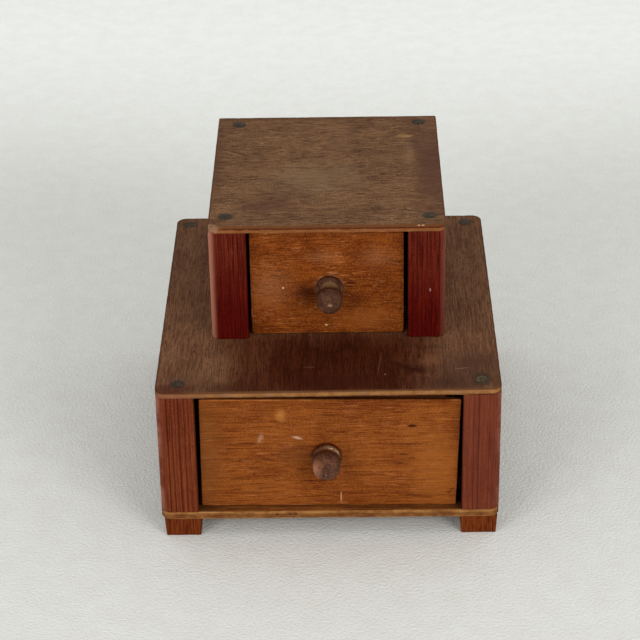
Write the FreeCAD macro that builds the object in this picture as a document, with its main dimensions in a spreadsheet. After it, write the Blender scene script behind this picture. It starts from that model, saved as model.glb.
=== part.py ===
import FreeCAD, Part
import math
import os
import re
import Sketcher

# A two-tier tabletop cabinet for sewing thread. Each tier is a case of four corner posts between
# thin plywood panels, closed by side and back panels let into grooves, with one drawer in front.
# The upper case stands on the lower one, set back so that a ledge is left before it.
# X runs to the right, Y to the back and Z up. The origin is the middle of the footprint, on the
# surface that the feet stand on. All sizes are in millimetres.

SIZES = {
    # lower case
    "lower_width": 203.2,
    "lower_depth": 228.6,
    "lower_post_height": 80.1,
    "lower_corner_radius": 6.35,
    "base_thickness": 4.8,
    "lower_top_thickness": 4.0,
    "lower_top_lead_left": 1.1,
    "lower_top_lag_right": 0.5,
    # upper case
    "upper_width": 141.3,
    "upper_depth": 158.75,
    "upper_back_inset": 7.15,
    "upper_post_height": 71.4,
    "upper_front_radius": 5.0,
    "upper_back_radius": 1.5,
    "upper_top_thickness": 4.8,
    # posts and the panels in their grooves
    "post_size": 22.4,
    "panel_thickness": 4.8,
    "panel_setback": 3.2,
    "panel_tongue": 4.0,
    # feet
    "foot_height": 12.7,
    "foot_size": 22.4,
    "foot_taper": 0.8,
    "foot_inset_left": 1.9,
    "foot_inset_right": 1.0,
    "foot_inset_front": 0.9,
    # drawer guides and running gaps
    "guide_height": 9.5,
    "guide_clearance": 0.8,
    "running_gap": 0.3,
    # drawer boxes
    "drawer_recess": 5.4,
    "drawer_front_thickness": 9.5,
    "drawer_lip": 3.2,
    "drawer_side_thickness": 6.35,
    "drawer_bottom_thickness": 3.2,
    "drawer_bottom_rise": 4.8,
    "drawer_groove_depth": 2.5,
    "lower_box_side_gap": 3.9,
    "lower_box_headroom": 13.8,
    "upper_box_side_gap": 3.25,
    "upper_box_headroom": 11.1,
    # gaps between each drawer front's corners and its opening
    "lower_gap_left_top": 3.0,
    "lower_gap_left_bottom": 2.1,
    "lower_gap_right_top": 1.1,
    "lower_gap_right_bottom": 3.6,
    "lower_gap_top_left": 4.6,
    "lower_gap_top_right": 6.3,
    "lower_gap_bottom_left": 1.3,
    "lower_gap_bottom_right": 0.3,
    "lower_front_corner_radius": 0.8,
    "upper_gap_left_top": 1.6,
    "upper_gap_left_bottom": 2.0,
    "upper_gap_right_top": 2.3,
    "upper_gap_right_bottom": 2.5,
    "upper_gap_top_left": 2.1,
    "upper_gap_top_right": 2.1,
    "upper_gap_bottom_left": 0.3,
    "upper_gap_bottom_right": 0.5,
    "upper_front_corner_radius": 2.0,
    # turned knobs: lengths are measured out from the drawer's face
    "lower_knob_radius": 8.7,
    "lower_knob_length": 18.6,
    "lower_knob_collar": 4.8,
    "lower_knob_head": 8.6,
    "lower_knob_cove": 0.8,
    "lower_knob_across": -1.5,
    "lower_knob_rise": 35.8,
    "upper_knob_radius": 8.0,
    "upper_knob_length": 24.2,
    "upper_knob_collar": 5.0,
    "upper_knob_head": 15.0,
    "upper_knob_cove": 0.9,
    "upper_knob_across": 1.2,
    "upper_knob_rise": 31.8,
    "knob_tenon_radius": 3.175,
    # dowels through the tops into the posts, each set by hand
    "dowel_radius": 3.95,
    "dowel_length": 18.0,
    "lower_dowel_front_left_in": 13.1,
    "lower_dowel_front_left_back": 9.6,
    "lower_dowel_front_right_in": 11.2,
    "lower_dowel_front_right_back": 11.8,
    "lower_dowel_back_left_in": 8.9,
    "lower_dowel_back_left_back": 9.7,
    "lower_dowel_back_right_in": 11.0,
    "lower_dowel_back_right_back": 10.6,
    "upper_dowel_front_left_in": 10.2,
    "upper_dowel_front_left_back": 13.4,
    "upper_dowel_front_right_in": 9.4,
    "upper_dowel_front_right_back": 12.6,
    "upper_dowel_back_left_in": 13.6,
    "upper_dowel_back_left_back": 11.4,
    "upper_dowel_back_right_in": 11.9,
    "upper_dowel_back_right_back": 9.7,
    # slotted countersunk screws up into the posts
    "screw_head_radius": 3.5,
    "screw_head_length": 2.2,
    "screw_shank_radius": 1.75,
    "screw_tip_length": 4.0,
    "screw_tip_radius": 0.2,
    "screw_recess": 0.4,
    "screw_slot_width": 0.9,
    "screw_slot_depth": 1.0,
    "lower_screw_length": 31.0,
    "upper_screw_length": 15.0,
    # brads in the drawer joints
    "brad_radius": 0.6,
    "brad_length": 19.0,
    "brad_end_distance": 14.0,
}

# Places and spans worked out from the sizes. Each may use sizes and other places.
PLACES = {
    "knob_reach": "lower_knob_length - drawer_recess",
    "lower_front": "(knob_reach - lower_depth) / 2",
    "lower_floor": "foot_height + base_thickness",
    "lower_ceiling": "lower_floor + lower_post_height",
    "upper_front": "lower_front + lower_depth - upper_back_inset - upper_depth",
    "upper_floor": "lower_ceiling + lower_top_thickness",
    "upper_ceiling": "upper_floor + upper_post_height",
    "lower_opening": "lower_width - 2 * post_size",
    "upper_opening": "upper_width - 2 * post_size",
    "lower_cavity": "lower_depth - panel_setback - panel_thickness",
    "upper_cavity": "upper_depth - panel_setback - panel_thickness",
    "lower_box_width": "lower_opening - 2 * lower_box_side_gap",
    "upper_box_width": "upper_opening - 2 * upper_box_side_gap",
    "lower_box_height": "lower_post_height - running_gap - lower_box_headroom",
    "upper_box_height": "upper_post_height - running_gap - upper_box_headroom",
    "lower_box_length": "lower_cavity - drawer_recess - running_gap",
    "upper_box_length": "upper_cavity - drawer_recess - running_gap",
    "rebate_depth": "drawer_front_thickness - drawer_lip",
}

TIERS = ("lower", "upper")
ENDS = ("front", "back")
SIDES = ("left", "right")
TURNS = {("front", "left"): 0, ("front", "right"): 90, ("back", "right"): 180, ("back", "left"): 270}

doc = FreeCAD.newDocument("thread_cabinet")
sheet = doc.addObject("Spreadsheet::Sheet", "Sizes")
for row, (alias, number) in enumerate(SIZES.items(), start=1):
    sheet.set(f"A{row}", alias)
    sheet.set(f"B{row}", str(number))
    sheet.setAlias(f"B{row}", alias)
doc.recompute()

nodes = []


def formula(text):
    """Spell out an expression: places become their own formulas, sizes become sheet cells."""
    def spell(match):
        word = match.group()
        if word in PLACES:
            return f"({formula(PLACES[word])})"
        return f"Sizes.{word}" if word in SIZES else word
    return re.sub(r"[a-z][a-z_]*", spell, text)


def bind(item, **fields):
    """Tie properties to expressions. A double underscore in a name stands for a dot."""
    for field, text in fields.items():
        item.setExpression(field.replace("__", "."), formula(text))


def place(item, x, y, z):
    bind(item, Placement__Base__x=x, Placement__Base__y=y, Placement__Base__z=z)


def keep(item, label):
    """Take an object as a finished piece of the cabinet under its own label."""
    item.Label = label
    nodes.append(item)
    return item


# ---- solids from primitives ----

def block(label, corner, spans):
    """A squared block from its lowest corner and its spans along X, Y and Z."""
    item = doc.addObject("Part::Box", label)
    bind(item, Length=spans[0], Width=spans[1], Height=spans[2])
    place(item, *corner)
    return item


def rod(label, centre, radius, length, turn=None):
    """A round rod from the centre of its first end, upright unless it is turned."""
    item = doc.addObject("Part::Cylinder", label)
    if turn:
        item.Placement = FreeCAD.Placement(FreeCAD.Vector(), turn)
    bind(item, Radius=radius, Height=length)
    place(item, *centre)
    return item


def cone(label, centre, radius_low, radius_high, height):
    item = doc.addObject("Part::Cone", label)
    bind(item, Radius1=radius_low, Radius2=radius_high, Height=height)
    place(item, *centre)
    return item


def group(label, items):
    item = doc.addObject("Part::Compound", label)
    item.Links = items
    return item


def cut(label, base, *tools):
    """Take the tools away from a base one after another."""
    for number, tool in enumerate(tools, start=1):
        result = doc.addObject("Part::Cut", f"{label}_cut_{number}")
        result.Base = base
        result.Tool = tool
        base = result
    return base


# ---- solids from sketches ----

def new_body(name):
    return doc.addObject("PartDesign::Body", name)


def new_sketch(body, name, role, lift=None):
    """A sketch on one of the body's own origin planes, lifted along its normal if asked."""
    sketch = body.newObject("Sketcher::SketchObject", name)
    plane = next(item for item in body.Origin.OriginFeatures if item.Role == role)
    sketch.AttachmentSupport = [(plane, "")]
    sketch.MapMode = "FlatFace"
    if lift:
        bind(sketch, AttachmentOffset__Base__z=lift)
    return sketch


def pin(sketch, line, x, y, point=1):
    """Hold a point of a sketch line at x, y from the origin; a 0 puts it on that axis."""
    for constraint, axis, text in (("DistanceX", -2, x), ("DistanceY", -1, y)):
        if text == "0":
            sketch.addConstraint(Sketcher.Constraint("PointOnObject", line, point, axis))
        else:
            held = Sketcher.Constraint(constraint, -1, 1, line, point, 1.0 + line)
            index = sketch.addConstraint(held)
            sketch.setExpression(f"Constraints[{index}]", formula(text))


def polygon(body, name, role, points, lift=None):
    """A closed sketch of straight lines through points given as expressions."""
    sketch = new_sketch(body, name, role, lift)
    count = len(points)
    ring = [FreeCAD.Vector(math.cos(math.tau * number / count), math.sin(math.tau * number / count), 0)
            for number in range(count)]
    for number in range(count):
        following = (number + 1) % count
        sketch.addGeometry(Part.LineSegment(ring[number], ring[following]), False)
    for number in range(count):
        sketch.addConstraint(Sketcher.Constraint("Coincident", number, 2, (number + 1) % count, 1))
    for number, (x, y) in enumerate(points):
        pin(sketch, number, x, y)
    return sketch


def rectangle(body, name, role, low, high, lift=None):
    points = [(low[0], low[1]), (high[0], low[1]), (high[0], high[1]), (low[0], high[1])]
    return polygon(body, name, role, points, lift)


def pad(body, sketch, length):
    feature = body.newObject("PartDesign::Pad", f"{sketch.Name}_pad")
    feature.Profile = sketch
    bind(feature, Length=length)
    doc.recompute()
    return feature


def pocket(body, sketch, depth, reverse):
    """Cut a pocket and make sure that it took something away."""
    before = body.Shape.Volume
    feature = body.newObject("PartDesign::Pocket", f"{sketch.Name}_pocket")
    feature.Profile = sketch
    feature.Reversed = reverse
    bind(feature, Length=depth)
    doc.recompute()
    if body.Shape.Volume >= before:
        raise ValueError(f"{feature.Name} cut nothing")
    return feature


def edges_along(feature, axis):
    """Names and middles of the straight edges that run along one axis."""
    found = []
    for number, edge in enumerate(feature.Shape.Edges, start=1):
        run = edge.Vertexes[-1].Point - edge.Vertexes[0].Point
        if edge.Curve.TypeId == "Part::GeomLine" and abs(run.normalize().dot(axis)) > 0.999:
            found.append((f"Edge{number}", edge.CenterOfMass))
    return found


def round_off(body, feature, names, radius):
    fillet = body.newObject("PartDesign::Fillet", f"{feature.Name}_rounding")
    fillet.Base = (feature, names)
    bind(fillet, Radius=radius)
    doc.recompute()
    return fillet


UP = FreeCAD.Vector(0, 0, 1)
BACK = FreeCAD.Vector(0, 1, 0)
TO_RIGHT = FreeCAD.Rotation(BACK, 90)


# ---- fasteners ----

def corner_place(tier, end, side, inward, backward):
    """X and Y of a point inset from one corner of a case."""
    x = f"-{tier}_width / 2 + {inward}" if side == "left" else f"{tier}_width / 2 - ({inward})"
    y = f"{tier}_front + {backward}" if end == "front" else f"{tier}_front + {tier}_depth - ({backward})"
    return x, y


def corners():
    return [(end, side) for end in ENDS for side in SIDES]


def dowels(tier):
    """Four dowels through a top panel into its posts, flush with the panel."""
    rods = []
    for end, side in corners():
        inset = f"{tier}_dowel_{end}_{side}"
        x, y = corner_place(tier, end, side, f"{inset}_in", f"{inset}_back")
        z = f"{tier}_ceiling + {tier}_top_thickness - dowel_length"
        rods.append(rod(f"{inset}_rod", (x, y, z), "dowel_radius", "dowel_length"))
    return keep(group(f"{tier}_dowel_group", rods), f"{tier}_top_dowels")


def screws(tier, start, label):
    """Four screws driven upwards, and the plain holes that they need."""
    slotted = []
    holes = []
    length = f"{tier}_screw_length"
    for end, side in corners():
        name = f"{tier}_screw_{end}_{side}"
        x, y = corner_place(tier, end, side, "post_size / 2", "post_size / 2")
        seat = f"{start} + screw_recess"
        neck = f"{seat} + screw_head_length"
        tip = f"{seat} + {length} - screw_tip_length"
        wide, thin, point = "screw_head_radius", "screw_shank_radius", "screw_tip_radius"
        straight = f"{length} - screw_head_length - screw_tip_length"
        parts = [
            cone(f"{name}_head", (x, y, seat), wide, thin, "screw_head_length"),
            rod(f"{name}_shank", (x, y, neck), thin, straight),
            cone(f"{name}_tip", (x, y, tip), thin, point, "screw_tip_length"),
        ]
        plain = doc.addObject("Part::MultiFuse", f"{name}_plain")
        plain.Shapes = parts
        mouth = rod(f"{name}_mouth", (x, y, start), wide, "screw_recess")
        hole = doc.addObject("Part::Fuse", f"{name}_hole")
        hole.Base = plain
        hole.Tool = mouth
        holes.append(hole)
        corner = (f"{x} - screw_head_radius", f"{y} - screw_slot_width / 2", seat)
        spans = ("2 * screw_head_radius", "screw_slot_width", "screw_slot_depth")
        slotted.append(cut(name, plain, block(f"{name}_slot", corner, spans)))
    keep(group(f"{tier}_screw_group", slotted), label)
    return group(f"{tier}_screw_holes", holes)


def brads(tier):
    """Brads through the drawer's sides into its front and back, and up through its bottom."""
    pins = []
    bottom = f"{tier}_floor + running_gap"
    face = f"{tier}_front + drawer_recess"
    rows = {
        "front": f"{face} + drawer_lip + rebate_depth / 2",
        "back": f"{face} + {tier}_box_length - drawer_side_thickness / 2",
    }
    starts = {"left": f"-{tier}_box_width / 2", "right": f"{tier}_box_width / 2 - brad_length"}
    heights = (
        "brad_end_distance",
        f"{tier}_box_height / 2",
        f"{tier}_box_height - brad_end_distance / 2",
    )
    for end, side in corners():
        for number, height in enumerate(heights, start=1):
            centre = (starts[side], rows[end], f"{bottom} + {height}")
            name = f"{tier}_brad_{end}_{side}_{number}"
            pins.append(rod(name, centre, "brad_radius", "brad_length", TO_RIGHT))
    for number, across in enumerate((f"-{tier}_box_width / 4", "0", f"{tier}_box_width / 4"), start=1):
        centre = (across, rows["back"], f"{bottom} + drawer_bottom_rise")
        pins.append(rod(f"{tier}_brad_bottom_{number}", centre, "brad_radius", "brad_length"))
    return keep(group(f"{tier}_brad_group", pins), f"{tier}_drawer_brads")


# ---- the two cases ----

def flat_panel(name, points, thickness, corner, radii):
    """A thin horizontal panel with its front and its back corners rounded by one radius each."""
    body = new_body(f"{name}_body")
    feature = pad(body, polygon(body, f"{name}_outline", "XY_Plane", points), thickness)
    for end, radius in zip(ENDS, radii):
        uprights = edges_along(feature, UP)
        uprights.sort(key=lambda edge: edge[1].y, reverse=end == "back")
        feature = round_off(body, feature, [edge[0] for edge in uprights[:2]], radius)
    place(body, *corner)
    return body


def post(tier, end, side, holes):
    """A square post, its outer corner rounded, grooved for the panels beside it."""
    name = f"{tier}_post_{end}_{side}"
    radius = "lower_corner_radius" if tier == "lower" else f"upper_{end}_radius"
    height = f"{tier}_post_height"
    turn = TURNS[end, side]
    body = new_body(f"{name}_body")
    square = rectangle(body, f"{name}_square", "XY_Plane", ("0", "0"), ("post_size", "post_size"))
    feature = pad(body, square, height)
    outer = min(edges_along(feature, UP), key=lambda edge: edge[1].x + edge[1].y)
    round_off(body, feature, [outer[0]], radius)
    near, far = "panel_setback", "panel_setback + panel_thickness"
    inner, face = "post_size - panel_tongue", "post_size"
    slots = {"y": ((near, inner), (far, face)), "x": ((inner, near), (face, far))}
    faces = ("x", "y") if end == "back" else ("y" if turn == 0 else "x",)
    for direction in faces:
        low, high = slots[direction]
        groove = rectangle(body, f"{name}_groove_{direction}", "XY_Plane", low, high)
        pocket(body, groove, height, reverse=True)
    body.Placement = FreeCAD.Placement(FreeCAD.Vector(), FreeCAD.Rotation(UP, turn))
    x, y = corner_place(tier, end, side, "0", "0")
    place(body, x, y, f"{tier}_floor")
    keep(cut(name, body, *holes), name)


def case_panels(tier):
    """Side and back panels in the posts' grooves, and the guides beside the drawer."""
    height = f"{tier}_post_height"
    floor = f"{tier}_floor"
    side_length = f"{tier}_depth - 2 * (post_size - panel_tongue)"
    starts = {
        "left": f"-{tier}_width / 2 + panel_setback",
        "right": f"{tier}_width / 2 - panel_setback - panel_thickness",
    }
    beside_box = f"post_size + {tier}_box_side_gap"
    guide_width = f"{beside_box} - panel_setback - panel_thickness - guide_clearance"
    guide_starts = {
        "left": f"{starts['left']} + panel_thickness",
        "right": f"{tier}_box_width / 2 + guide_clearance",
    }
    for side in SIDES:
        corner = (starts[side], f"{tier}_front + post_size - panel_tongue", floor)
        name = f"{tier}_side_panel_{side}"
        keep(block(name, corner, ("panel_thickness", side_length, height)), name)
        corner = (guide_starts[side], f"{tier}_front + post_size", floor)
        name = f"{tier}_drawer_guide_{side}"
        spans = (guide_width, f"{tier}_depth - 2 * post_size", "guide_height")
        keep(block(name, corner, spans), name)
    back_width = f"{tier}_width - 2 * (post_size - panel_tongue)"
    corner = (f"-({back_width}) / 2", f"{tier}_front + {tier}_cavity", floor)
    name = f"{tier}_back_panel"
    keep(block(name, corner, (back_width, "panel_thickness", height)), name)


def foot(end, side, screw_holes):
    """A small square block under a post, narrower at the floor."""
    name = f"foot_{end}_{side}"
    body = new_body(f"{name}_body")
    far = "foot_size - foot_taper"
    low = rectangle(body, f"{name}_sole", "XY_Plane", ("foot_taper", "foot_taper"), (far, far))
    high = rectangle(body, f"{name}_top", "XY_Plane", ("0", "0"), ("foot_size", "foot_size"), "foot_height")
    loft = body.newObject("PartDesign::AdditiveLoft", f"{name}_loft")
    loft.Profile = low
    loft.Sections = [high]
    loft.Ruled = True
    inward = "foot_inset_left" if side == "left" else "foot_inset_right + foot_size"
    backward = "foot_inset_front" if end == "front" else "foot_inset_front + foot_size"
    x, y = corner_place("lower", end, side, inward, backward)
    place(body, x, y, "0")
    keep(cut(name, body, screw_holes), name)


def lower_case():
    plugs = dowels("lower")
    screw_holes = screws("lower", "0", "foot_screws")
    upper_holes = screws("upper", "lower_ceiling", "upper_case_screws")
    left = "-lower_width / 2"
    square = [("0", "0"), ("lower_width", "0"), ("lower_width", "lower_depth"), ("0", "lower_depth")]
    radii = ("lower_corner_radius", "lower_corner_radius")
    base = flat_panel("base_panel", square, "base_thickness", (left, "lower_front", "foot_height"), radii)
    keep(cut("lower_base_panel", base, screw_holes), "lower_base_panel")
    far = "lower_top_lead_left + lower_depth"
    skewed = [
        ("0", "0"),
        ("lower_width", "lower_top_lead_left + lower_top_lag_right"),
        ("lower_width", far),
        ("0", far),
    ]
    corner = (left, "lower_front - lower_top_lead_left", "lower_ceiling")
    top = flat_panel("lower_top", skewed, "lower_top_thickness", corner, radii)
    keep(cut("lower_top_panel", top, plugs, upper_holes), "lower_top_panel")
    for end, side in corners():
        post("lower", end, side, (plugs, screw_holes))
        foot(end, side, screw_holes)
    case_panels("lower")
    return upper_holes


def upper_case(screw_holes):
    plugs = dowels("upper")
    square = [("0", "0"), ("upper_width", "0"), ("upper_width", "upper_depth"), ("0", "upper_depth")]
    corner = ("-upper_width / 2", "upper_front", "upper_ceiling")
    radii = ("upper_front_radius", "upper_back_radius")
    top = flat_panel("upper_top", square, "upper_top_thickness", corner, radii)
    keep(cut("upper_top_panel", top, plugs), "upper_top_panel")
    for end, side in corners():
        post("upper", end, side, (plugs, screw_holes))
    case_panels("upper")


# ---- the drawers ----

def drawer_front(tier, tools):
    """A front board in its opening's frame, rebated for the sides and grooved for the bottom."""
    name = f"{tier}_drawer_front"
    opening = f"{tier}_opening"
    height = f"{tier}_post_height"
    gap = f"{tier}_gap"
    points = [
        (f"{gap}_left_bottom", f"{gap}_bottom_left"),
        (f"{opening} - {gap}_right_bottom", f"{gap}_bottom_right"),
        (f"{opening} - {gap}_right_top", f"{height} - {gap}_top_right"),
        (f"{gap}_left_top", f"{height} - {gap}_top_left"),
    ]
    body = new_body(f"{name}_body")
    feature = pad(body, polygon(body, f"{name}_outline", "XZ_Plane", points), "drawer_front_thickness")
    names = [edge[0] for edge in edges_along(feature, BACK)]
    round_off(body, feature, names, f"{tier}_front_corner_radius")
    shoulder = f"({tier}_box_side_gap + drawer_side_thickness)"
    ends = {"left": ("0", shoulder), "right": (f"{opening} - {shoulder}", opening)}
    for side in SIDES:
        low, high = ends[side]
        rebate = rectangle(body, f"{name}_rebate_{side}", "XZ_Plane", (low, "0"), (high, height))
        pocket(body, rebate, "rebate_depth", reverse=True)
    rise = "running_gap + drawer_bottom_rise"
    groove = rectangle(body, f"{name}_groove", "XZ_Plane", (shoulder, rise),
                       (f"{opening} - {shoulder}", f"{rise} + drawer_bottom_thickness"))
    pocket(body, groove, "drawer_groove_depth", reverse=True)
    rear = f"{tier}_front + drawer_recess + drawer_front_thickness"
    place(body, f"-{opening} / 2", rear, f"{tier}_floor")
    keep(cut(name, body, *tools), name)


def knob(tier):
    """A turned knob with a collar, a coved neck, a domed head and a tenon for the drawer front.

    Its half profile starts at the tip of the dome and runs back along Y, with X as the radius.
    The sketch is drawn near its true place first, because its arcs are solved from there."""
    name = f"{tier}_drawer_knob"
    stem = f"{tier}_knob"
    radius = SIZES[f"{stem}_radius"]
    length = SIZES[f"{stem}_length"]
    tenon = SIZES["knob_tenon_radius"]
    crown = length - SIZES[f"{stem}_head"]
    rim = length - SIZES[f"{stem}_collar"]
    end = length + SIZES["drawer_front_thickness"]
    stops = [FreeCAD.Vector(x, y, 0) for x, y in (
        (0, 0), (radius, crown), (radius, rim), (radius, length), (tenon, length), (tenon, end), (0, end))]
    dome_middle = FreeCAD.Vector(radius * math.sin(math.pi / 4), crown * (1 - math.cos(math.pi / 4)), 0)
    neck_middle = FreeCAD.Vector(radius - SIZES[f"{stem}_cove"], (crown + rim) / 2, 0)
    body = new_body(f"{name}_body")
    sketch = new_sketch(body, f"{name}_profile", "XY_Plane")
    dome = sketch.addGeometry(Part.Arc(stops[0], dome_middle, stops[1]), False)
    cove = sketch.addGeometry(Part.Arc(stops[2], neck_middle, stops[1]), False)
    lines = [sketch.addGeometry(Part.LineSegment(start, stop), False)
             for start, stop in zip(stops[2:], stops[3:] + stops[:1])]
    for first, point, second, other in (
            (dome, 1, -1, 1), (cove, 2, dome, 2), (cove, 1, lines[0], 1), (lines[-1], 2, dome, 1)):
        sketch.addConstraint(Sketcher.Constraint("Coincident", first, point, second, other))
    for first, second in zip(lines, lines[1:]):
        sketch.addConstraint(Sketcher.Constraint("Coincident", first, 2, second, 1))
    crown_place = f"{stem}_length - {stem}_head"
    tenon_end = f"{stem}_length + drawer_front_thickness"
    pin(sketch, dome, f"{stem}_radius", crown_place, 2)
    pin(sketch, lines[0], f"{stem}_radius", f"{stem}_length - {stem}_collar")
    pin(sketch, lines[1], f"{stem}_radius", f"{stem}_length")
    pin(sketch, lines[2], "knob_tenon_radius", f"{stem}_length")
    pin(sketch, lines[3], "knob_tenon_radius", tenon_end)
    pin(sketch, lines[4], "0", tenon_end)
    sketch.addConstraint(Sketcher.Constraint("PointOnObject", dome, 3, -2))
    half = f"(({stem}_head - {stem}_collar) / 2)"
    bend = f"({half} ^ 2 + {stem}_cove ^ 2) / (2 * {stem}_cove)"
    index = sketch.addConstraint(Sketcher.Constraint("Radius", cove, 2 * radius))
    sketch.setExpression(f"Constraints[{index}]", formula(bend))
    turning = body.newObject("PartDesign::Revolution", f"{name}_turning")
    turning.Profile = sketch
    turning.ReferenceAxis = (sketch, ["V_Axis"])
    turning.Angle = 360
    face = f"{tier}_front + drawer_recess"
    place(body, f"{stem}_across", f"{face} - {stem}_length", f"{tier}_floor + {stem}_rise")
    return keep(body, name)


def drawer_box(tier, pins):
    """Two sides grooved for the bottom, the bottom, and the back that stands on it."""
    thickness = "drawer_side_thickness"
    half = f"{tier}_box_width / 2"
    bottom = f"{tier}_floor + running_gap"
    shelf = f"{bottom} + drawer_bottom_rise"
    face = f"{tier}_front + drawer_recess"
    starts = {"left": f"-{half}", "right": f"{half} - {thickness}"}
    grooves = {"left": f"-{half} + {thickness} - drawer_groove_depth", "right": f"{half} - {thickness}"}
    length = f"{tier}_box_length - drawer_lip"
    for side in SIDES:
        name = f"{tier}_drawer_side_{side}"
        corner = (starts[side], f"{face} + drawer_lip", bottom)
        board = block(f"{name}_board", corner, (thickness, length, f"{tier}_box_height"))
        corner = (grooves[side], f"{face} + drawer_lip", shelf)
        groove = block(f"{name}_groove", corner, ("drawer_groove_depth", length, "drawer_bottom_thickness"))
        keep(cut(name, board, groove, pins), name)
    inner = f"{tier}_box_width - 2 * {thickness}"
    name = f"{tier}_drawer_back"
    start = f"{face} + {tier}_box_length - {thickness}"
    corner = (f"-({inner}) / 2", start, f"{shelf} + drawer_bottom_thickness")
    height = f"{tier}_box_height - drawer_bottom_rise - drawer_bottom_thickness"
    keep(cut(name, block(f"{name}_board", corner, (inner, thickness, height)), pins), name)
    name = f"{tier}_drawer_bottom"
    width = f"{inner} + 2 * drawer_groove_depth"
    start = f"{face} + drawer_front_thickness - drawer_groove_depth"
    length = f"{tier}_box_length - drawer_front_thickness + drawer_groove_depth"
    corner = (f"-({width}) / 2", start, shelf)
    spans = (width, length, "drawer_bottom_thickness")
    keep(cut(name, block(f"{name}_board", corner, spans), pins), name)


def drawer(tier):
    pins = brads(tier)
    drawer_front(tier, (knob(tier), pins))
    drawer_box(tier, pins)


upper_case(lower_case())
for tier in TIERS:
    drawer(tier)
doc.recompute()

for item in doc.Objects:
    if {"Invalid", "Error"} & set(item.State):
        raise RuntimeError(f"{item.Label} failed: {item.State}")
for node in nodes:
    if node.Shape.isNull() or not node.Shape.isValid() or not node.Shape.Solids:
        raise RuntimeError(f"{node.Label} has no valid solid")

os.makedirs("parts", exist_ok=True)
for node in nodes:
    node.Shape.exportStep(f"parts/{node.Label}.step")
    print(f"{node.Label}: {len(node.Shape.Solids)} solids, {node.Shape.Volume / 1000:.2f} cm3")
whole = Part.makeCompound([node.Shape for node in nodes]).BoundBox
print(f"{len(nodes)} nodes, {whole.XLength:.2f} x {whole.YLength:.2f} x {whole.ZLength:.2f} mm")
print(f"Y from {whole.YMin:.2f} to {whole.YMax:.2f}")
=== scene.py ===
import math

import bmesh
import bpy
import numpy as np
from bpy.props import FloatProperty, FloatVectorProperty, PointerProperty
from mathutils import Matrix, Vector


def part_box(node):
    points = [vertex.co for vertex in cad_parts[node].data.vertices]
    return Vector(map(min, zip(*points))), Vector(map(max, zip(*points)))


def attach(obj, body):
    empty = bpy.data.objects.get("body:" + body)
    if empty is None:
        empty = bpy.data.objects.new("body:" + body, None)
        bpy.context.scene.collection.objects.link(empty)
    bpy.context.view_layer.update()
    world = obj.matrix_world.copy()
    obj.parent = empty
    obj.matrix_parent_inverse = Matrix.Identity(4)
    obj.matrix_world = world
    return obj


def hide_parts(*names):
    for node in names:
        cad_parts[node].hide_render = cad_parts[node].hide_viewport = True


bl_info = {
    "name": "Thread Cabinet Finish",
    "version": (1, 0, 0),
    "blender": (4, 5, 0),
    "location": "View3D > Sidebar > Thread Cabinet",
    "description": "Dresses a two-tier thread cabinet in worn, stained wood round its packed frame",
    "category": "Add Mesh",
}

# Lengths are in metres. X runs to the right, Y to the back and Z up, as in the frame.
MM = 0.001
TIERS = ("lower", "upper")
ENDS = ("front", "back")
SIDES = ("left", "right")

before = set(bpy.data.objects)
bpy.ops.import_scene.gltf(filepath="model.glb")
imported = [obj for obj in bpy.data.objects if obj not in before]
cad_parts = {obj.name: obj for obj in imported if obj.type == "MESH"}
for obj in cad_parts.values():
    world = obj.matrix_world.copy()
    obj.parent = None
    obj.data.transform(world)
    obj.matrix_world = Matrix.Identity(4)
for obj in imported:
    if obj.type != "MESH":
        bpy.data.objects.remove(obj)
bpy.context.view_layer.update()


def shade(red, green, blue):
    """A colour given as display values from 0 to 255, as the linear values that a shader takes.

    Each value is divided by 255, then follows the display curve backwards: a power of 2.4 above
    its short straight foot."""
    shares = np.array([red, green, blue]) / 255
    curve = ((shares + 0.055) / 1.055) ** 2.4
    return tuple(float(value) for value in np.where(shares <= 0.04045, shares / 12.92, curve))


# ---- sizes and colours that a user would change ----

def length(name, description, default):
    """A length that a user may change."""
    return FloatProperty(name=name, description=description, default=default, min=0.0,
                         unit="LENGTH", precision=5)


def colour(name, description, default):
    """A colour that a user may change, with its default as display values."""
    return FloatVectorProperty(name=name, description=description, default=shade(*default),
                               subtype="COLOR", size=3, min=0.0, max=1.0)


class CabinetSizes(bpy.types.PropertyGroup):
    panel_arris: length("Panel arris", "Radius of the worn arris along a plywood panel", 0.45 * MM)
    board_arris: length("Board arris", "Radius of the eased arrises of posts and fronts", 0.5 * MM)
    foot_arris: length("Foot arris", "Radius of the feet's knocked arrises", 0.7 * MM)
    lower_corner: length("Lower corner", "Rounding of the lower case's outer corners", 6.35 * MM)
    upper_front_corner: length("Upper front corner", "Rounding of the upper case's front corners", 5.0 * MM)
    upper_back_corner: length("Upper back corner", "Rounding of the upper case's back corners", 1.5 * MM)
    lower_front_corner: length("Lower drawer corner", "Rounding of the lower drawer front", 0.8 * MM)
    upper_front_board_corner: length("Upper drawer corner", "Rounding of the upper drawer front", 2.0 * MM)
    ply_groove: length("Ply groove", "Depth of the broken core in a plywood edge", 0.22 * MM)
    furrow: length("Furrow", "Depth of the deepest open grain in a post", 0.16 * MM)
    unevenness: length("Unevenness", "How far hand work leaves a face from true", 0.08 * MM)
    plug_rise: length("Plug rise", "How far the dowels stand above the panels", 0.12 * MM)
    lip: length("Lip", "Thickness of a drawer front's lip before the drawer's sides", 3.2 * MM)


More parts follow.
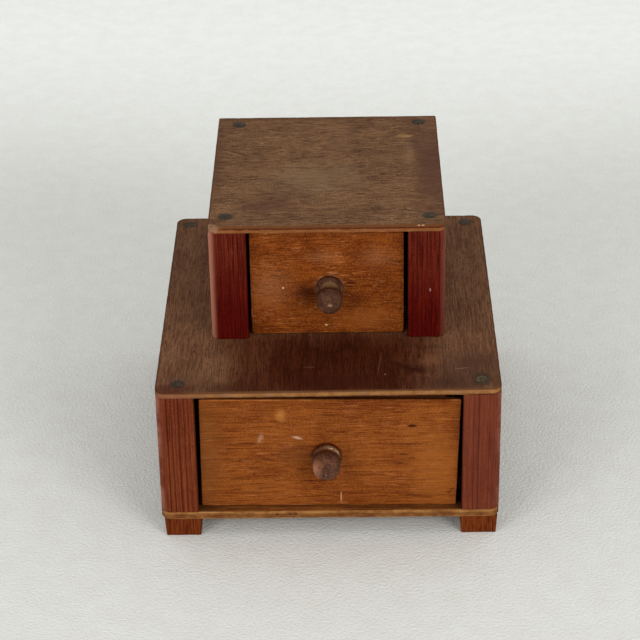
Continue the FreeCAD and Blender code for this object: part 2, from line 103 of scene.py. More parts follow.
class CabinetColours(bpy.types.PropertyGroup):
    upper_top: colour("Upper top", "Worn stain of the upper panel", (121, 87, 59))
    upper_top_dark: colour("Upper top, dark", "Streaks of the upper panel", (70, 45, 28))
    lower_top: colour("Lower top", "Worn stain of the lower panel", (116, 80, 55))
    lower_top_dark: colour("Lower top, dark", "Streaks of the lower panel", (80, 49, 31))
    lower_top_deep: colour("Lower top, deep", "Tint of the stain where nothing rubs", (184, 151, 127))
    edge_pale: colour("Ply edge, pale", "Bare veneer in the edges of the panels", (150, 106, 62))
    edge_dark: colour("Ply edge, dark", "Dirty veneer in the edges of the panels", (98, 55, 26))
    edge_core: colour("Ply core", "Broken core of the panels", (72, 26, 7))
    edge_stain: colour("Edge stain", "Stain on the side edges of the panels", (84, 50, 32))
    lower_post: colour("Lower post", "Stain of the lower posts", (114, 55, 28))
    lower_post_dark: colour("Lower post, dark", "Grain of the lower posts", (84, 30, 12))
    upper_post: colour("Upper post", "Stain of the upper posts", (99, 36, 18))
    upper_post_dark: colour("Upper post, dark", "Grain of the upper posts", (68, 10, 4))
    # The posts' pale rounding is real wear and painted sheen together.
    worn_post: colour("Worn post", "Rubbed rounding of the posts", (144, 90, 73))
    foot: colour("Foot", "Stain of the feet", (110, 50, 17))
    lower_front: colour("Lower front", "Stain of the lower drawer front", (137, 75, 27))
    lower_front_dark: colour("Lower front, dark", "Grain of the lower drawer front", (94, 40, 8))
    upper_front: colour("Upper front", "Stain of the upper drawer front", (127, 64, 18))
    upper_front_dark: colour("Upper front, dark", "Grain of the upper drawer front", (84, 34, 5))
    lower_knob: colour("Lower knob", "Handled stain of the lower knob", (96, 60, 42))
    upper_knob: colour("Upper knob", "Handled stain of the upper knob", (85, 54, 36))
    lower_knob_dark: colour("Lower knob, dark", "Dirt in the hollows of the lower knob", (64, 26, 6))
    upper_knob_dark: colour("Upper knob, dark", "Dirt in the hollows of the upper knob", (54, 24, 8))
    plug: colour("Dowel end", "Dark end grain of the dowels", (72, 58, 42))
    panel: colour("Case board", "Stain of the side and back boards", (104, 48, 26))
    bare: colour("Bare wood", "Aged bare wood inside", (176, 132, 84))
    bare_dark: colour("Bare wood, dark", "Grain of the bare wood inside", (142, 98, 56))
    steel: colour("Steel", "Screws and brads", (120, 116, 110))


class CabinetStage(bpy.types.PropertyGroup):
    floor: colour("Floor", "Painted floor round the cabinet", (216, 217, 212))
    # The far floor's paler colour is painted light, standing in for a lit backdrop behind.
    far_floor_painted_light: colour("Floor, far", "Painted floor farther back", (245, 247, 244))
    left_power: FloatProperty(name="Left lamp", description="Power of the lamp at the front left",
                              default=16.5, min=0.0, unit="POWER")
    right_power: FloatProperty(name="Right lamp", description="Power of the lamp at the front right",
                               default=22.5, min=0.0, unit="POWER")
    sky: FloatProperty(name="Sky", description="Strength of the even light all round",
                       default=0.82, min=0.0)


# ---- surfaces ----

def rounded_path(corners, radii, step):
    """A closed path round a polygon, anticlockwise, and its outward normals.

    Every corner is an arc that touches both its sides: its centre lies inside the corner by the
    radius times the sum of the two sides' normals over one plus their product, and its points are
    the centre plus the radius times the normal at each angle. Between two arcs the path is
    straight, with points about one step apart."""
    corners = np.asarray(corners, float)
    sides = np.roll(corners, -1, axis=0) - corners
    along = sides / np.linalg.norm(sides, axis=1)[:, None]
    outward = np.stack([along[:, 1], -along[:, 0]], axis=1)
    arcs = []
    for index, (corner, radius) in enumerate(zip(corners, radii)):
        before, after = outward[index - 1], outward[index]
        start = math.atan2(before[1], before[0])
        turn = (math.atan2(after[1], after[0]) - start) % math.tau
        centre = corner - (before + after) * radius / (1 + before @ after)
        count = max(6, math.ceil(radius * turn / step) + 1)
        angles = start + turn * np.linspace(0, 1, count)
        normals = np.stack([np.cos(angles), np.sin(angles)], axis=1)
        arcs.append((centre + radius * normals, normals))
    points, normals = [], []
    for (arc, arc_normals), (following, _) in zip(arcs, arcs[1:] + arcs[:1]):
        run = following[0] - arc[-1]
        count = max(2, math.ceil(np.linalg.norm(run) / step))
        shares = np.linspace(0, 1, count, endpoint=False)[1:, None]
        points += [arc, arc[-1] + shares * run]
        normals += [arc_normals, np.repeat(arc_normals[-1:], count - 1, axis=0)]
    return np.concatenate(points), np.concatenate(normals)


def waves(points, longest, seed, count=8):
    """Uneven relief from about -1 to 1 at points in space.

    It adds sines along unlike directions. Each wave is 0.62 times as long as the one before it
    and weighs 0.75 times as much; directions and phases come from a seeded generator."""
    draw = np.random.default_rng(seed)
    directions = draw.normal(size=(count, 3))
    directions /= np.linalg.norm(directions, axis=1)[:, None]
    phases = draw.uniform(0, math.tau, count)
    lengths = longest * 0.62 ** np.arange(count)
    weights = 0.75 ** np.arange(count)
    angles = points @ directions.T * math.tau / lengths + phases
    return (np.sin(angles) * weights).sum(axis=-1) / weights.sum() * 1.8


def uneven(points, longest, seed):
    """Uneven relief from 0 to 2 at points in space: one plus the waves, kept within those bounds."""
    return np.clip(1 + waves(points, longest, seed), 0, 2)


def smooth(low, high, value):
    """A smooth step: 0 up to low, 1 from high, three squares less two cubes between them."""
    share = np.clip((value - low) / (high - low), 0, 1)
    return share * share * (3 - 2 * share)


def edge_section(thickness, low_arris, high_arris, steps):
    """Insets and levels of a board's edge in section, from its low face to its high face.

    An arris is a quarter circle: the inset is its radius times one less the sine, and the level
    its radius times one less the cosine, of an angle that runs from 0 to 90 degrees. A ring just
    inside each face holds the arris tight. The side between them is straight."""
    angles = np.linspace(0, math.pi / 2, 5)
    inward, rise = 1 - np.sin(angles), 1 - np.cos(angles)
    side = np.linspace(low_arris, thickness - high_arris, steps + 2)[1:-1]
    hold = 0.6 * MM
    insets = [[low_arris + hold], low_arris * inward, np.zeros(steps), high_arris * inward[::-1],
              [high_arris + hold]]
    levels = [[0.0], low_arris * rise, side, thickness - high_arris * rise[::-1], [thickness]]
    return np.concatenate(insets), np.concatenate(levels)


def slab(path, normals, insets, levels, low_rings, high_rings):
    """Rings of points of a slab, and the share of each ring that belongs to the edge.

    The edge's rings are the path moved in along its normals by each inset, at each level. The
    two faces are rings that shrink towards the path's middle by equal shares."""
    count = len(path)
    insets = np.broadcast_to(np.asarray(insets).reshape(len(insets), -1), (len(insets), count))
    levels = np.broadcast_to(np.asarray(levels).reshape(len(levels), -1), insets.shape)
    edge = np.concatenate([path[None] - normals[None] * insets[..., None], levels[..., None]], axis=2)
    middle = np.append(path.mean(axis=0), 0.0)

    def face(ring, rings):
        centre = middle + (0, 0, ring[:, 2].mean())
        shares = np.linspace(0, 1, rings + 2)[1:-1, None, None]
        return ring[None] + (centre - ring)[None] * shares

    rings = np.concatenate([face(edge[0], low_rings)[::-1], edge, face(edge[-1], high_rings)])
    on_edge = np.zeros(len(rings))
    on_edge[low_rings + 1:low_rings + len(insets) - 1] = 1.0
    return rings, on_edge


def plane_by_hand(rings, path, face_rings, border, depth, longest, seed):
    """Let a slab's last face rise and fall in waves that die out towards its border.

    The waves are weighed by the product of a smooth step from each of the four sides, which leaves
    no crease at the corners."""
    (left, low), (right, high) = path.min(axis=0), path.max(axis=0)
    face = rings[-face_rings:]
    across, along = face[..., 0], face[..., 1]
    inner = (smooth(0, border, across - left) * smooth(0, border, right - across)
             * smooth(0, border, along - low) * smooth(0, border, high - along))
    face[..., 2] -= inner * depth * uneven(face, longest, seed)


def skin(rings, **masks):
    """A closed mesh over rings of points, with a point in the middle of each end.

    Ring r and step s make the point r times the steps plus s, so that every face is worked out
    as an array. Each mask holds one value for a ring, or one for each point, and becomes an
    attribute of its own name."""
    count, steps, _ = rings.shape
    poles = np.stack([rings[0].mean(axis=0), rings[-1].mean(axis=0)])
    points = np.concatenate([rings.reshape(-1, 3), poles])
    here = np.arange(steps)
    beyond = (here + 1) % steps
    start = np.arange(count - 1)[:, None] * steps
    quads = np.stack([start + here, start + beyond, start + steps + beyond, start + steps + here],
                     axis=-1).reshape(-1, 4)
    first, last = count * steps, count * steps + 1
    final = (count - 1) * steps
    fans = np.concatenate([np.stack([beyond, here, np.full(steps, first)], axis=1),
                           np.stack([final + here, final + beyond, np.full(steps, last)], axis=1)])
    corners = np.concatenate([quads.ravel(), fans.ravel()])
    starts = np.concatenate([np.arange(len(quads)) * 4, len(quads) * 4 + np.arange(len(fans)) * 3])
    mesh = bpy.data.meshes.new("skin")
    mesh.vertices.add(len(points))
    mesh.vertices.foreach_set("co", points.ravel())
    mesh.loops.add(len(corners))
    mesh.loops.foreach_set("vertex_index", corners)
    mesh.polygons.add(len(starts))
    mesh.polygons.foreach_set("loop_start", starts)
    mesh.update(calc_edges=True)
    for label, values in masks.items():
        values = np.asarray(values, float)
        values = values[:, None] if values.ndim == 1 else values
        values = np.broadcast_to(values, (count, steps))
        ends = [values[0].mean(), values[-1].mean()]
        layer = mesh.attributes.new(label, "FLOAT", "POINT")
        layer.data.foreach_set("value", np.concatenate([values.ravel(), ends]).astype(np.float32))
    return mesh


def clean(mesh):
    """Merge points that lie together, so that no face is left without an area, and shade smoothly."""
    work = bmesh.new()
    work.from_mesh(mesh)
    bmesh.ops.remove_doubles(work, verts=work.verts, dist=1e-6)
    work.to_mesh(mesh)
    work.free()
    mesh.shade_smooth()


def piece(name, mesh, finish, body, slot, *nodes):
    """Put a mesh in the scene as a piece that rides on a body and stands for its nodes."""
    clean(mesh)
    mesh.name = name
    mesh.materials.append(finish)
    item = bpy.data.objects.new(name, mesh)
    bpy.context.scene.collection.objects.link(item)
    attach(item, body)
    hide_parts(*nodes)
    return item


def facing_front(rings):
    """Turn rings made in a plan so that their plan stands upright and their levels face the front."""
    return np.stack([rings[..., 0], -rings[..., 2], rings[..., 1]], axis=-1)


def box_of(node):
    """The lowest and the highest corner of a CAD node's box."""
    low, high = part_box(node)
    return np.array(low), np.array(high)


def top_of(node):
    """The level of a node's top, in mm."""
    return box_of(node)[1][2] / MM


def face_of(node):
    """Where a node's front face lies along Y, in mm."""
    return box_of(node)[0][1] / MM


def node_points(node):
    """The points of a CAD node's mesh."""
    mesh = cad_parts[node].data
    points = np.empty(len(mesh.vertices) * 3, np.float32)
    mesh.vertices.foreach_get("co", points)
    return points.reshape(-1, 3).astype(float)


# ---- node groups and materials ----

def add(tree, kind, inputs=None, **settings):
    """Add a node, set it up, and fill its inputs with values or with other nodes' outputs."""
    node = tree.nodes.new(kind)
    for field, value in settings.items():
        setattr(node, field, value)
    for key, value in (inputs or {}).items():
        if isinstance(value, bpy.types.NodeSocket):
            tree.links.new(value, node.inputs[key])
        else:
            node.inputs[key].default_value = value
    return node


def calc(tree, operation, *values, clamp=False):
    """The output of a Math node."""
    return add(tree, "ShaderNodeMath", dict(enumerate(values)), operation=operation,
               use_clamp=clamp).outputs[0]


def times(tree, product, *values):
    """The product of two or more values."""
    for value in values:
        product = calc(tree, "MULTIPLY", product, value)
    return product


def vector_calc(tree, operation, *values):
    """The output of a Vector Math node."""
    return add(tree, "ShaderNodeVectorMath", dict(enumerate(values)), operation=operation).outputs[0]


def blend(tree, factor, first, second, how="MIX"):
    """The colour between two colours."""
    first, second = (value if isinstance(value, bpy.types.NodeSocket) else (*value[:3], 1.0)
                     for value in (first, second))
    return add(tree, "ShaderNodeMix", {0: factor, 6: first, 7: second}, data_type="RGBA",
               blend_type=how).outputs[2]


def spread(tree, value, low, high, to_low=0.0, to_high=1.0):
    """A value carried smoothly from one span to another."""
    return add(tree, "ShaderNodeMapRange",
               {"Value": value, "From Min": low, "From Max": high, "To Min": to_low, "To Max": to_high},
               interpolation_type="SMOOTHSTEP").outputs["Result"]


def noise(tree, vector, scale, detail=3.0, roughness=0.5, distortion=0.0):
    """The value of a Noise Texture node."""
    return add(tree, "ShaderNodeTexNoise", {"Vector": vector, "Scale": scale, "Detail": detail,
                                            "Roughness": roughness, "Distortion": distortion},
               noise_dimensions="3D").outputs["Fac"]


def clouds(tree, vector, scale, detail, roughness, low, high, distortion=0.0):
    """Noise with its contrast raised: 0 up to a low level of it, and 1 from a high one."""
    return spread(tree, noise(tree, vector, scale, detail, roughness, distortion), low, high)


def new_group(name, outputs, **inputs):
    """An empty node group with its sockets, and its input and output nodes.

    Each input is given by its default, which is a number, a vector or a colour. Underscores in the
    names of inputs stand for spaces."""
    group = bpy.data.node_groups.new(name, "ShaderNodeTree")
    kinds = {1: "NodeSocketFloat", 3: "NodeSocketVector", 4: "NodeSocketColor"}
    for label, default in inputs.items():
        socket = group.interface.new_socket(label.replace("_", " "), in_out="INPUT",
                                            socket_type=kinds[np.size(default)])
        socket.default_value = default
    for label in outputs:
        group.interface.new_socket(label, in_out="OUTPUT", socket_type=kinds[4 if label == "Color" else 1])
    return group, group.nodes.new("NodeGroupInput").outputs, group.nodes.new("NodeGroupOutput").inputs


def use(tree, group_name, **values):
    """Place a group in a tree. Underscores in the names of values stand for spaces."""
    node = tree.nodes.new("ShaderNodeGroup")
    node.node_tree = bpy.data.node_groups[group_name]
    for key, value in values.items():
        socket = node.inputs[key.replace("_", " ")]
        if isinstance(value, bpy.types.NodeSocket):
            tree.links.new(value, socket)
        elif socket.type == "RGBA":
            socket.default_value = (*value[:3], 1.0)
        else:
            socket.default_value = value
    return node.outputs


ORIGIN = (0.0, 0.0, 0.0)
WHITE = (1.0, 1.0, 1.0, 1.0)

# How strongly and how finely each wood shows its patterns. Fineness is the scale of its streaks and
# pores, stretch how short they run along the grain, bands the scale of its figure, waviness how far
# the grain sways and cloud the scale of its mottle. The rest weigh one pattern each.
PATTERNS = ("Fineness", "Stretch", "Bands", "Waviness", "Figure", "Streaks", "Pores", "Mottle",
            "Cloud", "Speckle", "Rubs")
WOODS = {
    "upper top": (1250, 0.1, 130, 0.01, 0.26, 0.85, 0.38, 0.36, 42, 0.85, 0.55),
    "lower top": (1300, 0.06, 240, 0.002, 0.35, 0.8, 0.5, 0.35, 40, 0.7, 0.45),
    "base": (900, 0.06, 90, 0.003, 0.4, 0.85, 0.6, 0.6, 26, 0.85, 0.4),
    "lower post": (1400, 0.02, 620, 0.0005, 0.26, 0.6, 0.5, 0.32, 26, 0.5, 0.25),
    "upper post": (1400, 0.02, 620, 0.0005, 0.26, 0.9, 0.7, 0.32, 26, 0.7, 0.3),
    "foot": (1400, 0.02, 900, 0.0005, 0.6, 0.7, 0.5, 0.32, 26, 0.5, 0),
    "dowel": (1500, 0.5, 500, 0.001, 0.5, 0.6, 0.7, 0.6, 26, 1, 0),
    "lower front": (1300, 0.03, 330, 0.004, 0.22, 0.55, 0.55, 0.42, 36, 0.62, 0.45),
    "upper front": (1300, 0.05, 330, 0.004, 0.22, 0.55, 0.55, 0.5, 36, 0.8, 0.55),
    "knob": (1300, 0.6, 420, 0.004, 0.3, 0.4, 0.4, 0.75, 230, 0.85, 0.6),
    "case board": (1200, 0.04, 160, 0.004, 0.4, 0.6, 0.5, 0.3, 26, 0.5, 0.3),
    "guide": (700, 0.05, 90, 0.002, 0.5, 0.5, 0.3, 0.3, 26, 0.3, 0),
    "drawer box": (640, 0.04, 70, 0.004, 0.6, 0.5, 0.15, 0.3, 26, 0.3, 0),
}


def make_stained_wood():
    """Wood with its grain along X under a stain: broad figure, fine streaks, speckle, short dark
    pores and pale rubs. The share of the dark colour is a half plus each pattern, centred and weighted."""
    tree, given, result = new_group("stained wood", ("Color", "Height"), Vector=ORIGIN, Pale=WHITE,
                                    Dark=WHITE, Rub=WHITE, **dict.fromkeys(PATTERNS, 0.5))
    slow = vector_calc(tree, "MULTIPLY", given["Vector"], (14.0, 40.0, 40.0))
    wander = times(tree, calc(tree, "SUBTRACT", noise(tree, slow, 1.0, 2.0), 0.5), given["Waviness"])
    shift = add(tree, "ShaderNodeCombineXYZ", {1: wander, 2: wander}).outputs[0]
    bent = vector_calc(tree, "ADD", given["Vector"], shift)
    squeeze = add(tree, "ShaderNodeCombineXYZ", {0: given["Stretch"], 1: 1.0, 2: 1.0}).outputs[0]
    drawn = vector_calc(tree, "MULTIPLY", bent, squeeze)
    short = vector_calc(tree, "MULTIPLY", drawn, (2.0, 1.0, 1.0))
    fine = clouds(tree, drawn, given["Fineness"], 2.0, 0.6, 0.34, 0.66)
    share = 0.5
    for weight, pattern in (
            ("Figure", clouds(tree, drawn, given["Bands"], 3.0, 0.6, 0.34, 0.66, 0.4)),
            ("Streaks", fine),
            ("Mottle", clouds(tree, given["Vector"], given["Cloud"], 4.0, 0.65, 0.34, 0.66)),
            ("Speckle", clouds(tree, given["Vector"], 1250.0, 2.0, 0.6, 0.32, 0.68))):
        part = times(tree, calc(tree, "SUBTRACT", pattern, 0.5), given[weight])
        share = calc(tree, "ADD", share, part, clamp=True)
    tint = blend(tree, share, given["Pale"], given["Dark"])
    pores = clouds(tree, short, given["Fineness"], 1.0, 0.4, 0.6, 0.7)
    deepest = blend(tree, 1.0, given["Dark"], (0.45, 0.36, 0.3), "MULTIPLY")
    tint = blend(tree, times(tree, pores, given["Pores"]), tint, deepest)
    moved = vector_calc(tree, "ADD", short, (0.7, 0.3, 0.1))
    strokes = clouds(tree, moved, times(tree, given["Fineness"], 1.2), 2.0, 0.5, 0.56, 0.7)
    handled = clouds(tree, given["Vector"], 48.0, 3.0, 0.6, 0.42, 0.62)
    rubs = times(tree, strokes, given["Rubs"], handled)
    tree.links.new(blend(tree, rubs, tint, given["Rub"]), result["Color"])
    tree.links.new(calc(tree, "SUBTRACT", times(tree, fine, -0.5), pores), result["Height"])


def make_patch():
    """One soft-edged mark: 1 in its middle, 0 outside, with a ragged border.

    How far out a point lies is the sum of the powers of its shares of the reach, to one over that
    power: 2 makes an ellipsoid, and a higher power a box with rounded corners."""
    tree, given, result = new_group(
        "patch", ("Mask",), Vector=ORIGIN, Place=ORIGIN, Reach=(0.01,) * 3, Turn=0.0,
        Axis=(0.0, 0.0, 1.0), Softness=0.6, Ragged=0.3, Grit=300.0, Power=2.0, Grain=(1.0, 1.0, 1.0))
    offset = vector_calc(tree, "SUBTRACT", given["Vector"], given["Place"])
    turned = add(tree, "ShaderNodeVectorRotate", {"Vector": offset, "Axis": given["Axis"],
                                                  "Angle": given["Turn"]}).outputs[0]
    share = vector_calc(tree, "ABSOLUTE", vector_calc(tree, "DIVIDE", turned, given["Reach"]))
    total = 0.0
    for part in add(tree, "ShaderNodeSeparateXYZ", {0: share}).outputs:
        total = calc(tree, "ADD", total, calc(tree, "POWER", part, given["Power"]))
    far = calc(tree, "POWER", total, calc(tree, "DIVIDE", 1.0, given["Power"]))
    drawn = vector_calc(tree, "MULTIPLY", given["Vector"], given["Grain"])
    rough = calc(tree, "SUBTRACT", noise(tree, drawn, given["Grit"], 3.0, 0.6), 0.5)
    far = calc(tree, "ADD", far, times(tree, rough, given["Ragged"], 2.0))
    start = calc(tree, "SUBTRACT", 1.0, given["Softness"])
    tree.links.new(spread(tree, far, 1.0, start), result["Mask"])


def make_wear():
    """Rubbed arrises: the attribute that is 1 on an arris, broken up by patches."""
    tree, given, result = new_group("wear", ("Mask",), Vector=ORIGIN, Arris=0.0, Amount=0.5,
                                    Patches=120.0)
    broken = noise(tree, given["Vector"], given["Patches"], 4.0, 0.65)
    level = calc(tree, "SUBTRACT", 1.0, given["Amount"])
    rubbed = spread(tree, broken, calc(tree, "SUBTRACT", level, 0.14), calc(tree, "ADD", level, 0.1))
    tree.links.new(times(tree, rubbed, given["Arris"]), result["Mask"])


def make_flecks():
    """Tiny scattered specks: the cells whose middle is near, of which most are left out."""
    tree, given, result = new_group("flecks", ("Mask",), Vector=ORIGIN, Density=260.0, Size=0.16,
                                    Kept=0.1)
    cells = add(tree, "ShaderNodeTexVoronoi", {"Vector": given["Vector"], "Scale": given["Density"]},
                voronoi_dimensions="3D", feature="F1").outputs
    near = spread(tree, cells["Distance"], given["Size"], 0.0)
    pick = add(tree, "ShaderNodeSeparateColor", {0: cells["Color"]}).outputs[0]
    tree.links.new(times(tree, near, calc(tree, "LESS_THAN", pick, given["Kept"])), result["Mask"])


def make_ply_edge():
    """The edge of thin plywood: two veneers with a darker broken core between them."""
    tree, given, result = new_group(
        "ply edge", ("Color", "Height"), Vector=ORIGIN, Ply=0.5, Pale=WHITE, Dark=WHITE, Core=WHITE,
        Core_Low=0.42, Core_High=0.62, Core_Share=0.8, Dirt=0.5)
    lines = vector_calc(tree, "MULTIPLY", given["Vector"], (90.0, 90.0, 1500.0))
    streak = clouds(tree, lines, 1.0, 4.0, 0.65, 0.3, 0.7)
    cloud = clouds(tree, given["Vector"], 150.0, 5.0, 0.7, 0.34, 0.66)
    mixed = calc(tree, "ADD", times(tree, streak, 0.4), times(tree, cloud, 0.6))
    tint = blend(tree, times(tree, mixed, given["Dirt"]), given["Pale"], given["Dark"])
    sway = times(tree, calc(tree, "SUBTRACT", noise(tree, given["Vector"], 260.0, 3.0), 0.5), 0.16)
    level = calc(tree, "ADD", given["Ply"], sway)
    soft = 0.05
    above = spread(tree, level, calc(tree, "SUBTRACT", given["Core Low"], soft),
                   calc(tree, "ADD", given["Core Low"], soft))
    below = spread(tree, level, calc(tree, "ADD", given["Core High"], soft),
                   calc(tree, "SUBTRACT", given["Core High"], soft))
    broken = spread(tree, noise(tree, given["Vector"], 420.0, 3.0, 0.7), 0.25, 0.55, 0.35, 1.0)
    core = times(tree, above, below, broken, given["Core Share"])
    tree.links.new(blend(tree, core, tint, given["Core"]), result["Color"])
    tree.links.new(calc(tree, "SUBTRACT", times(tree, streak, -0.3), core), result["Height"])


def make_groups():
    """Build every shared group once."""
    for name, make in (("stained wood", make_stained_wood), ("patch", make_patch), ("wear", make_wear),
                       ("flecks", make_flecks), ("ply edge", make_ply_edge)):
        if name not in bpy.data.node_groups:
            make()


# How far a mark on a face reaches along the face's normal, in mm, so that it goes through.
THROUGH = 9
# The turn that lays a wood's grain along an axis.
TURNS = {"X": (0, 0, 0), "Y": (0, 0, math.pi / 2), "Z": (0, math.pi / 2, 0)}


class Finish:
    """A material under construction: its tree, its vectors, and the colour and relief so far."""

    def __init__(self, name, grain, rough=0.6, gloss=0.05):
        self.material = bpy.data.materials.new(name)
        self.material.use_nodes = True
        self.tree = self.material.node_tree
        self.tree.nodes.clear()
        self.vector = add(self.tree, "ShaderNodeTexCoord").outputs["Object"]
        self.grain = add(self.tree, "ShaderNodeMapping",
                         {"Vector": self.vector, "Rotation": TURNS[grain]}).outputs[0]
        self.shader = add(self.tree, "ShaderNodeBsdfPrincipled",
                          {"Roughness": rough, "Specular IOR Level": gloss})
        target = add(self.tree, "ShaderNodeOutputMaterial")
        self.tree.links.new(self.shader.outputs[0], target.inputs[0])
        self.rough = rough
        self.colour = self.height = None

    def wood(self, kind, pale, dark, rub=(0, 0, 0)):
        """Start from one of the woods, with its two stains and the display colour of its rubs."""
        made = use(self.tree, "stained wood", Vector=self.grain, Pale=pale, Dark=dark, Rub=shade(*rub),
                   **dict(zip(PATTERNS, WOODS[kind])))
        self.colour, self.height = made["Color"], made["Height"]

    def along(self, axis):
        """How far a point lies along an axis."""
        return add(self.tree, "ShaderNodeSeparateXYZ", {0: self.vector}).outputs[axis]

    def attribute(self, name):
        """The value of one of the mesh's own attributes."""
        return add(self.tree, "ShaderNodeAttribute", attribute_name=name,
                   attribute_type="GEOMETRY").outputs["Fac"]

    def toward_left(self, name, least):
        """An attribute that fades to its least share on the right, so that the pale it carries is a painted
        highlight strongest on the left,
        where the light falls: in full from 60 mm left of the middle, and least from 60 mm right of it."""
        return times(self.tree, self.attribute(name),
                     spread(self.tree, self.along("X"), 60 * MM, -60 * MM, least, 1.0))

    def tint(self, mask, colour, amount=1.0, how="MIX"):
        """Lay a colour over what is there, where a mask says so."""
        if amount != 1.0:
            mask = times(self.tree, mask, amount)
        self.colour = blend(self.tree, mask, self.colour, colour, how)

    def patch(self, place, reach, **values):
        """The mask of a patch whose place and reach are given in millimetres."""
        return use(self.tree, "patch", Vector=self.vector, Place=tuple(v * MM for v in place),
                   Reach=tuple(v * MM for v in reach), **values)["Mask"]

    def mark(self, place, reach, colour, amount=1.0, how="MIX", **values):
        """Lay a patch of a colour that is given as display values."""
        self.tint(self.patch(place, reach, **values), shade(*colour), amount, how)

    def marks(self, rows, origin=ORIGIN, axis=None):
        """Lay a patch for each row: place, reach, display colour, amount, softness, raggedness,
        grit, and what else it has. Places are measured from an origin. Where an axis is given, the
        rows leave it out: their patches lie at the origin's level on it and go through the face."""
        for place, reach, colour, amount, softness, ragged, grit, *rest in rows:
            if axis is not None:
                place = (*place[:axis], 0, *place[axis:])
                reach = (*reach[:axis], THROUGH, *reach[axis:])
            spot = [start + step for start, step in zip(origin, place)]
            self.mark(spot, reach, colour, amount, Softness=softness, Ragged=ragged, Grit=grit,
                      **dict(*rest))

    def worn(self, arris, colour, **values):
        """Lay the colour of rubbed wood where a mask of arrises is broken up by wear."""
        self.tint(use(self.tree, "wear", Vector=self.vector, Arris=arris, **values)["Mask"], colour)

    def flecks(self, colour, amount, **values):
        """Scatter specks of a colour."""
        self.tint(use(self.tree, "flecks", Vector=self.vector, **values)["Mask"], colour, amount)

    def done(self, depth=0.05 * MM):
        """Join colour, relief and an uneven roughness to the shader."""
        tree = self.tree
        tree.links.new(self.colour, self.shader.inputs["Base Color"])
        if self.height is not None:
            bump = add(tree, "ShaderNodeBump", {"Height": self.height, "Strength": 1.0,
                                                "Distance": depth})
            tree.links.new(bump.outputs[0], self.shader.inputs["Normal"])
        cloud, swing = noise(tree, self.vector, 90.0, 4.0, 0.6), 0.05
        rough = spread(tree, cloud, 0.3, 0.7, self.rough - swing, self.rough + swing)
        tree.links.new(rough, self.shader.inputs["Roughness"])
        return self.material


# ---- plywood panels ----

def ply_panel(path, normals, low, high, sizes, seed, core):
    """Rings and masks of a plywood panel: eased arrises, a grooved core, faces not quite true.

    Its edge is the section of an eased board with the core's groove added, a bell curve of the
    level whose depth comes and goes round the edge. The top rises and falls in slow waves that
    die out towards its border."""
    thickness, low_rings, high_rings, arris_rings = high - low, 8, 26, 5
    groove_width, chip, ripple, deepest = 0.09, 0.35 * MM, 0.06 * MM, 1.3 * MM
    insets, levels = edge_section(thickness, sizes.panel_arris, sizes.panel_arris, 12)
    around = np.column_stack([path, np.zeros(len(path))])
    ply = levels / thickness
    groove = np.exp(-((ply - core) / groove_width) ** 2)
    broken = smooth(-0.3, 0.6, waves(around, 0.022, seed + 1))
    chipped = smooth(0.75, 1.1, waves(around, 0.018, seed + 2))
    on_arris = (insets > 0)[:, None]
    eased = insets[:, None] * (0.6 + 0.5 * uneven(around, 0.05, seed))[None]
    full = np.where(on_arris, eased + chip * chipped[None], 0.0)
    full = full + groove[:, None] * (sizes.ply_groove * (0.25 + broken))[None]
    full = np.minimum(full + ripple * uneven(around, 0.012, seed + 3)[None], deepest)
    rings, on_edge = slab(path, normals, full, levels, low_rings, high_rings)
    plane_by_hand(rings, path, high_rings, 14 * MM, sizes.unevenness, 0.11, seed + 4)
    share = np.concatenate([np.zeros(low_rings), np.clip(ply, 0, 1), np.ones(high_rings)])
    arris = np.zeros(len(rings))
    for first in (low_rings + 1, low_rings + len(insets) - 1 - arris_rings):
        arris[first:first + arris_rings] = 1.0
    facing = np.broadcast_to(np.clip(-normals[:, 1], 0, 1), rings.shape[:2])
    rings[..., 2] += low
    return rings, {"edge": on_edge, "ply": share, "arris": arris, "facing": facing}


def plan_corners(low, high, set_back=0.0):
    """Corners of a plan, anticlockwise from the front left, its front right one set back if asked."""
    return [(low[0], low[1]), (high[0], low[1] + set_back), (high[0], high[1]), (low[0], high[1])]


def edged(finish, colours, plies, core, core_share, dirt, worn, amount):
    """Give a panel's edge its plies, its stain at the sides and its rubbed arrises."""
    tree = finish.tree
    made = use(tree, "ply edge", Vector=finish.vector, Ply=finish.attribute("ply"), Pale=plies[0],
               Dark=plies[1], Core=colours.edge_core, Core_Low=core[0], Core_High=core[1],
               Core_Share=core_share, Dirt=dirt)
    mask = finish.attribute("edge")
    facing = spread(tree, finish.attribute("facing"), 0.25, 0.8)
    finish.tint(mask, blend(tree, facing, colours.edge_stain, made["Color"]))
    finish.height = add(tree, "ShaderNodeMix", {0: mask, 2: finish.height, 3: made["Height"]},
                        data_type="FLOAT").outputs[0]
    rubbed = times(tree, finish.attribute("arris"), spread(tree, facing, 0.0, 1.0, 0.2, 1.0))
    finish.worn(rubbed, worn, Amount=amount, Patches=95.0)


def veneer(finish, low, high, colour, amount):
    """Stain the upper veneer in a panel's edge, from a low to a high share of its thickness."""
    mask = spread(finish.tree, finish.attribute("ply"), low, high)
    finish.tint(times(finish.tree, finish.attribute("edge"), mask), shade(*colour), amount)


def rods(node):
    """Middle, lowest and highest level and radius of the one rod in each quarter of the plan: front
    left, back left, front right and back right."""
    points = node_points(node)
    middle = (points.min(axis=0) + points.max(axis=0)) / 2
    found = []
    for right in (False, True):
        for back in (False, True):
            chosen = points[((points[:, 0] > middle[0]) == right) & ((points[:, 1] > middle[1]) == back)]
            low, high = chosen.min(axis=0), chosen.max(axis=0)
            found.append(((low + high) / 2, low[2], high[2], (high[0] - low[0]) / 2))
    return found


def haloes(finish, node, level):
    """Darken the stain round the ends of a tier's dowels."""
    beyond = 1.5
    for centre, _, _, radius in rods(node):
        reach = radius / MM + beyond
        finish.mark((centre[0] / MM, centre[1] / MM, level), (reach, reach, THROUGH), (58, 48, 38), 0.8,
                    Softness=0.28, Ragged=0.1, Grit=500.0)


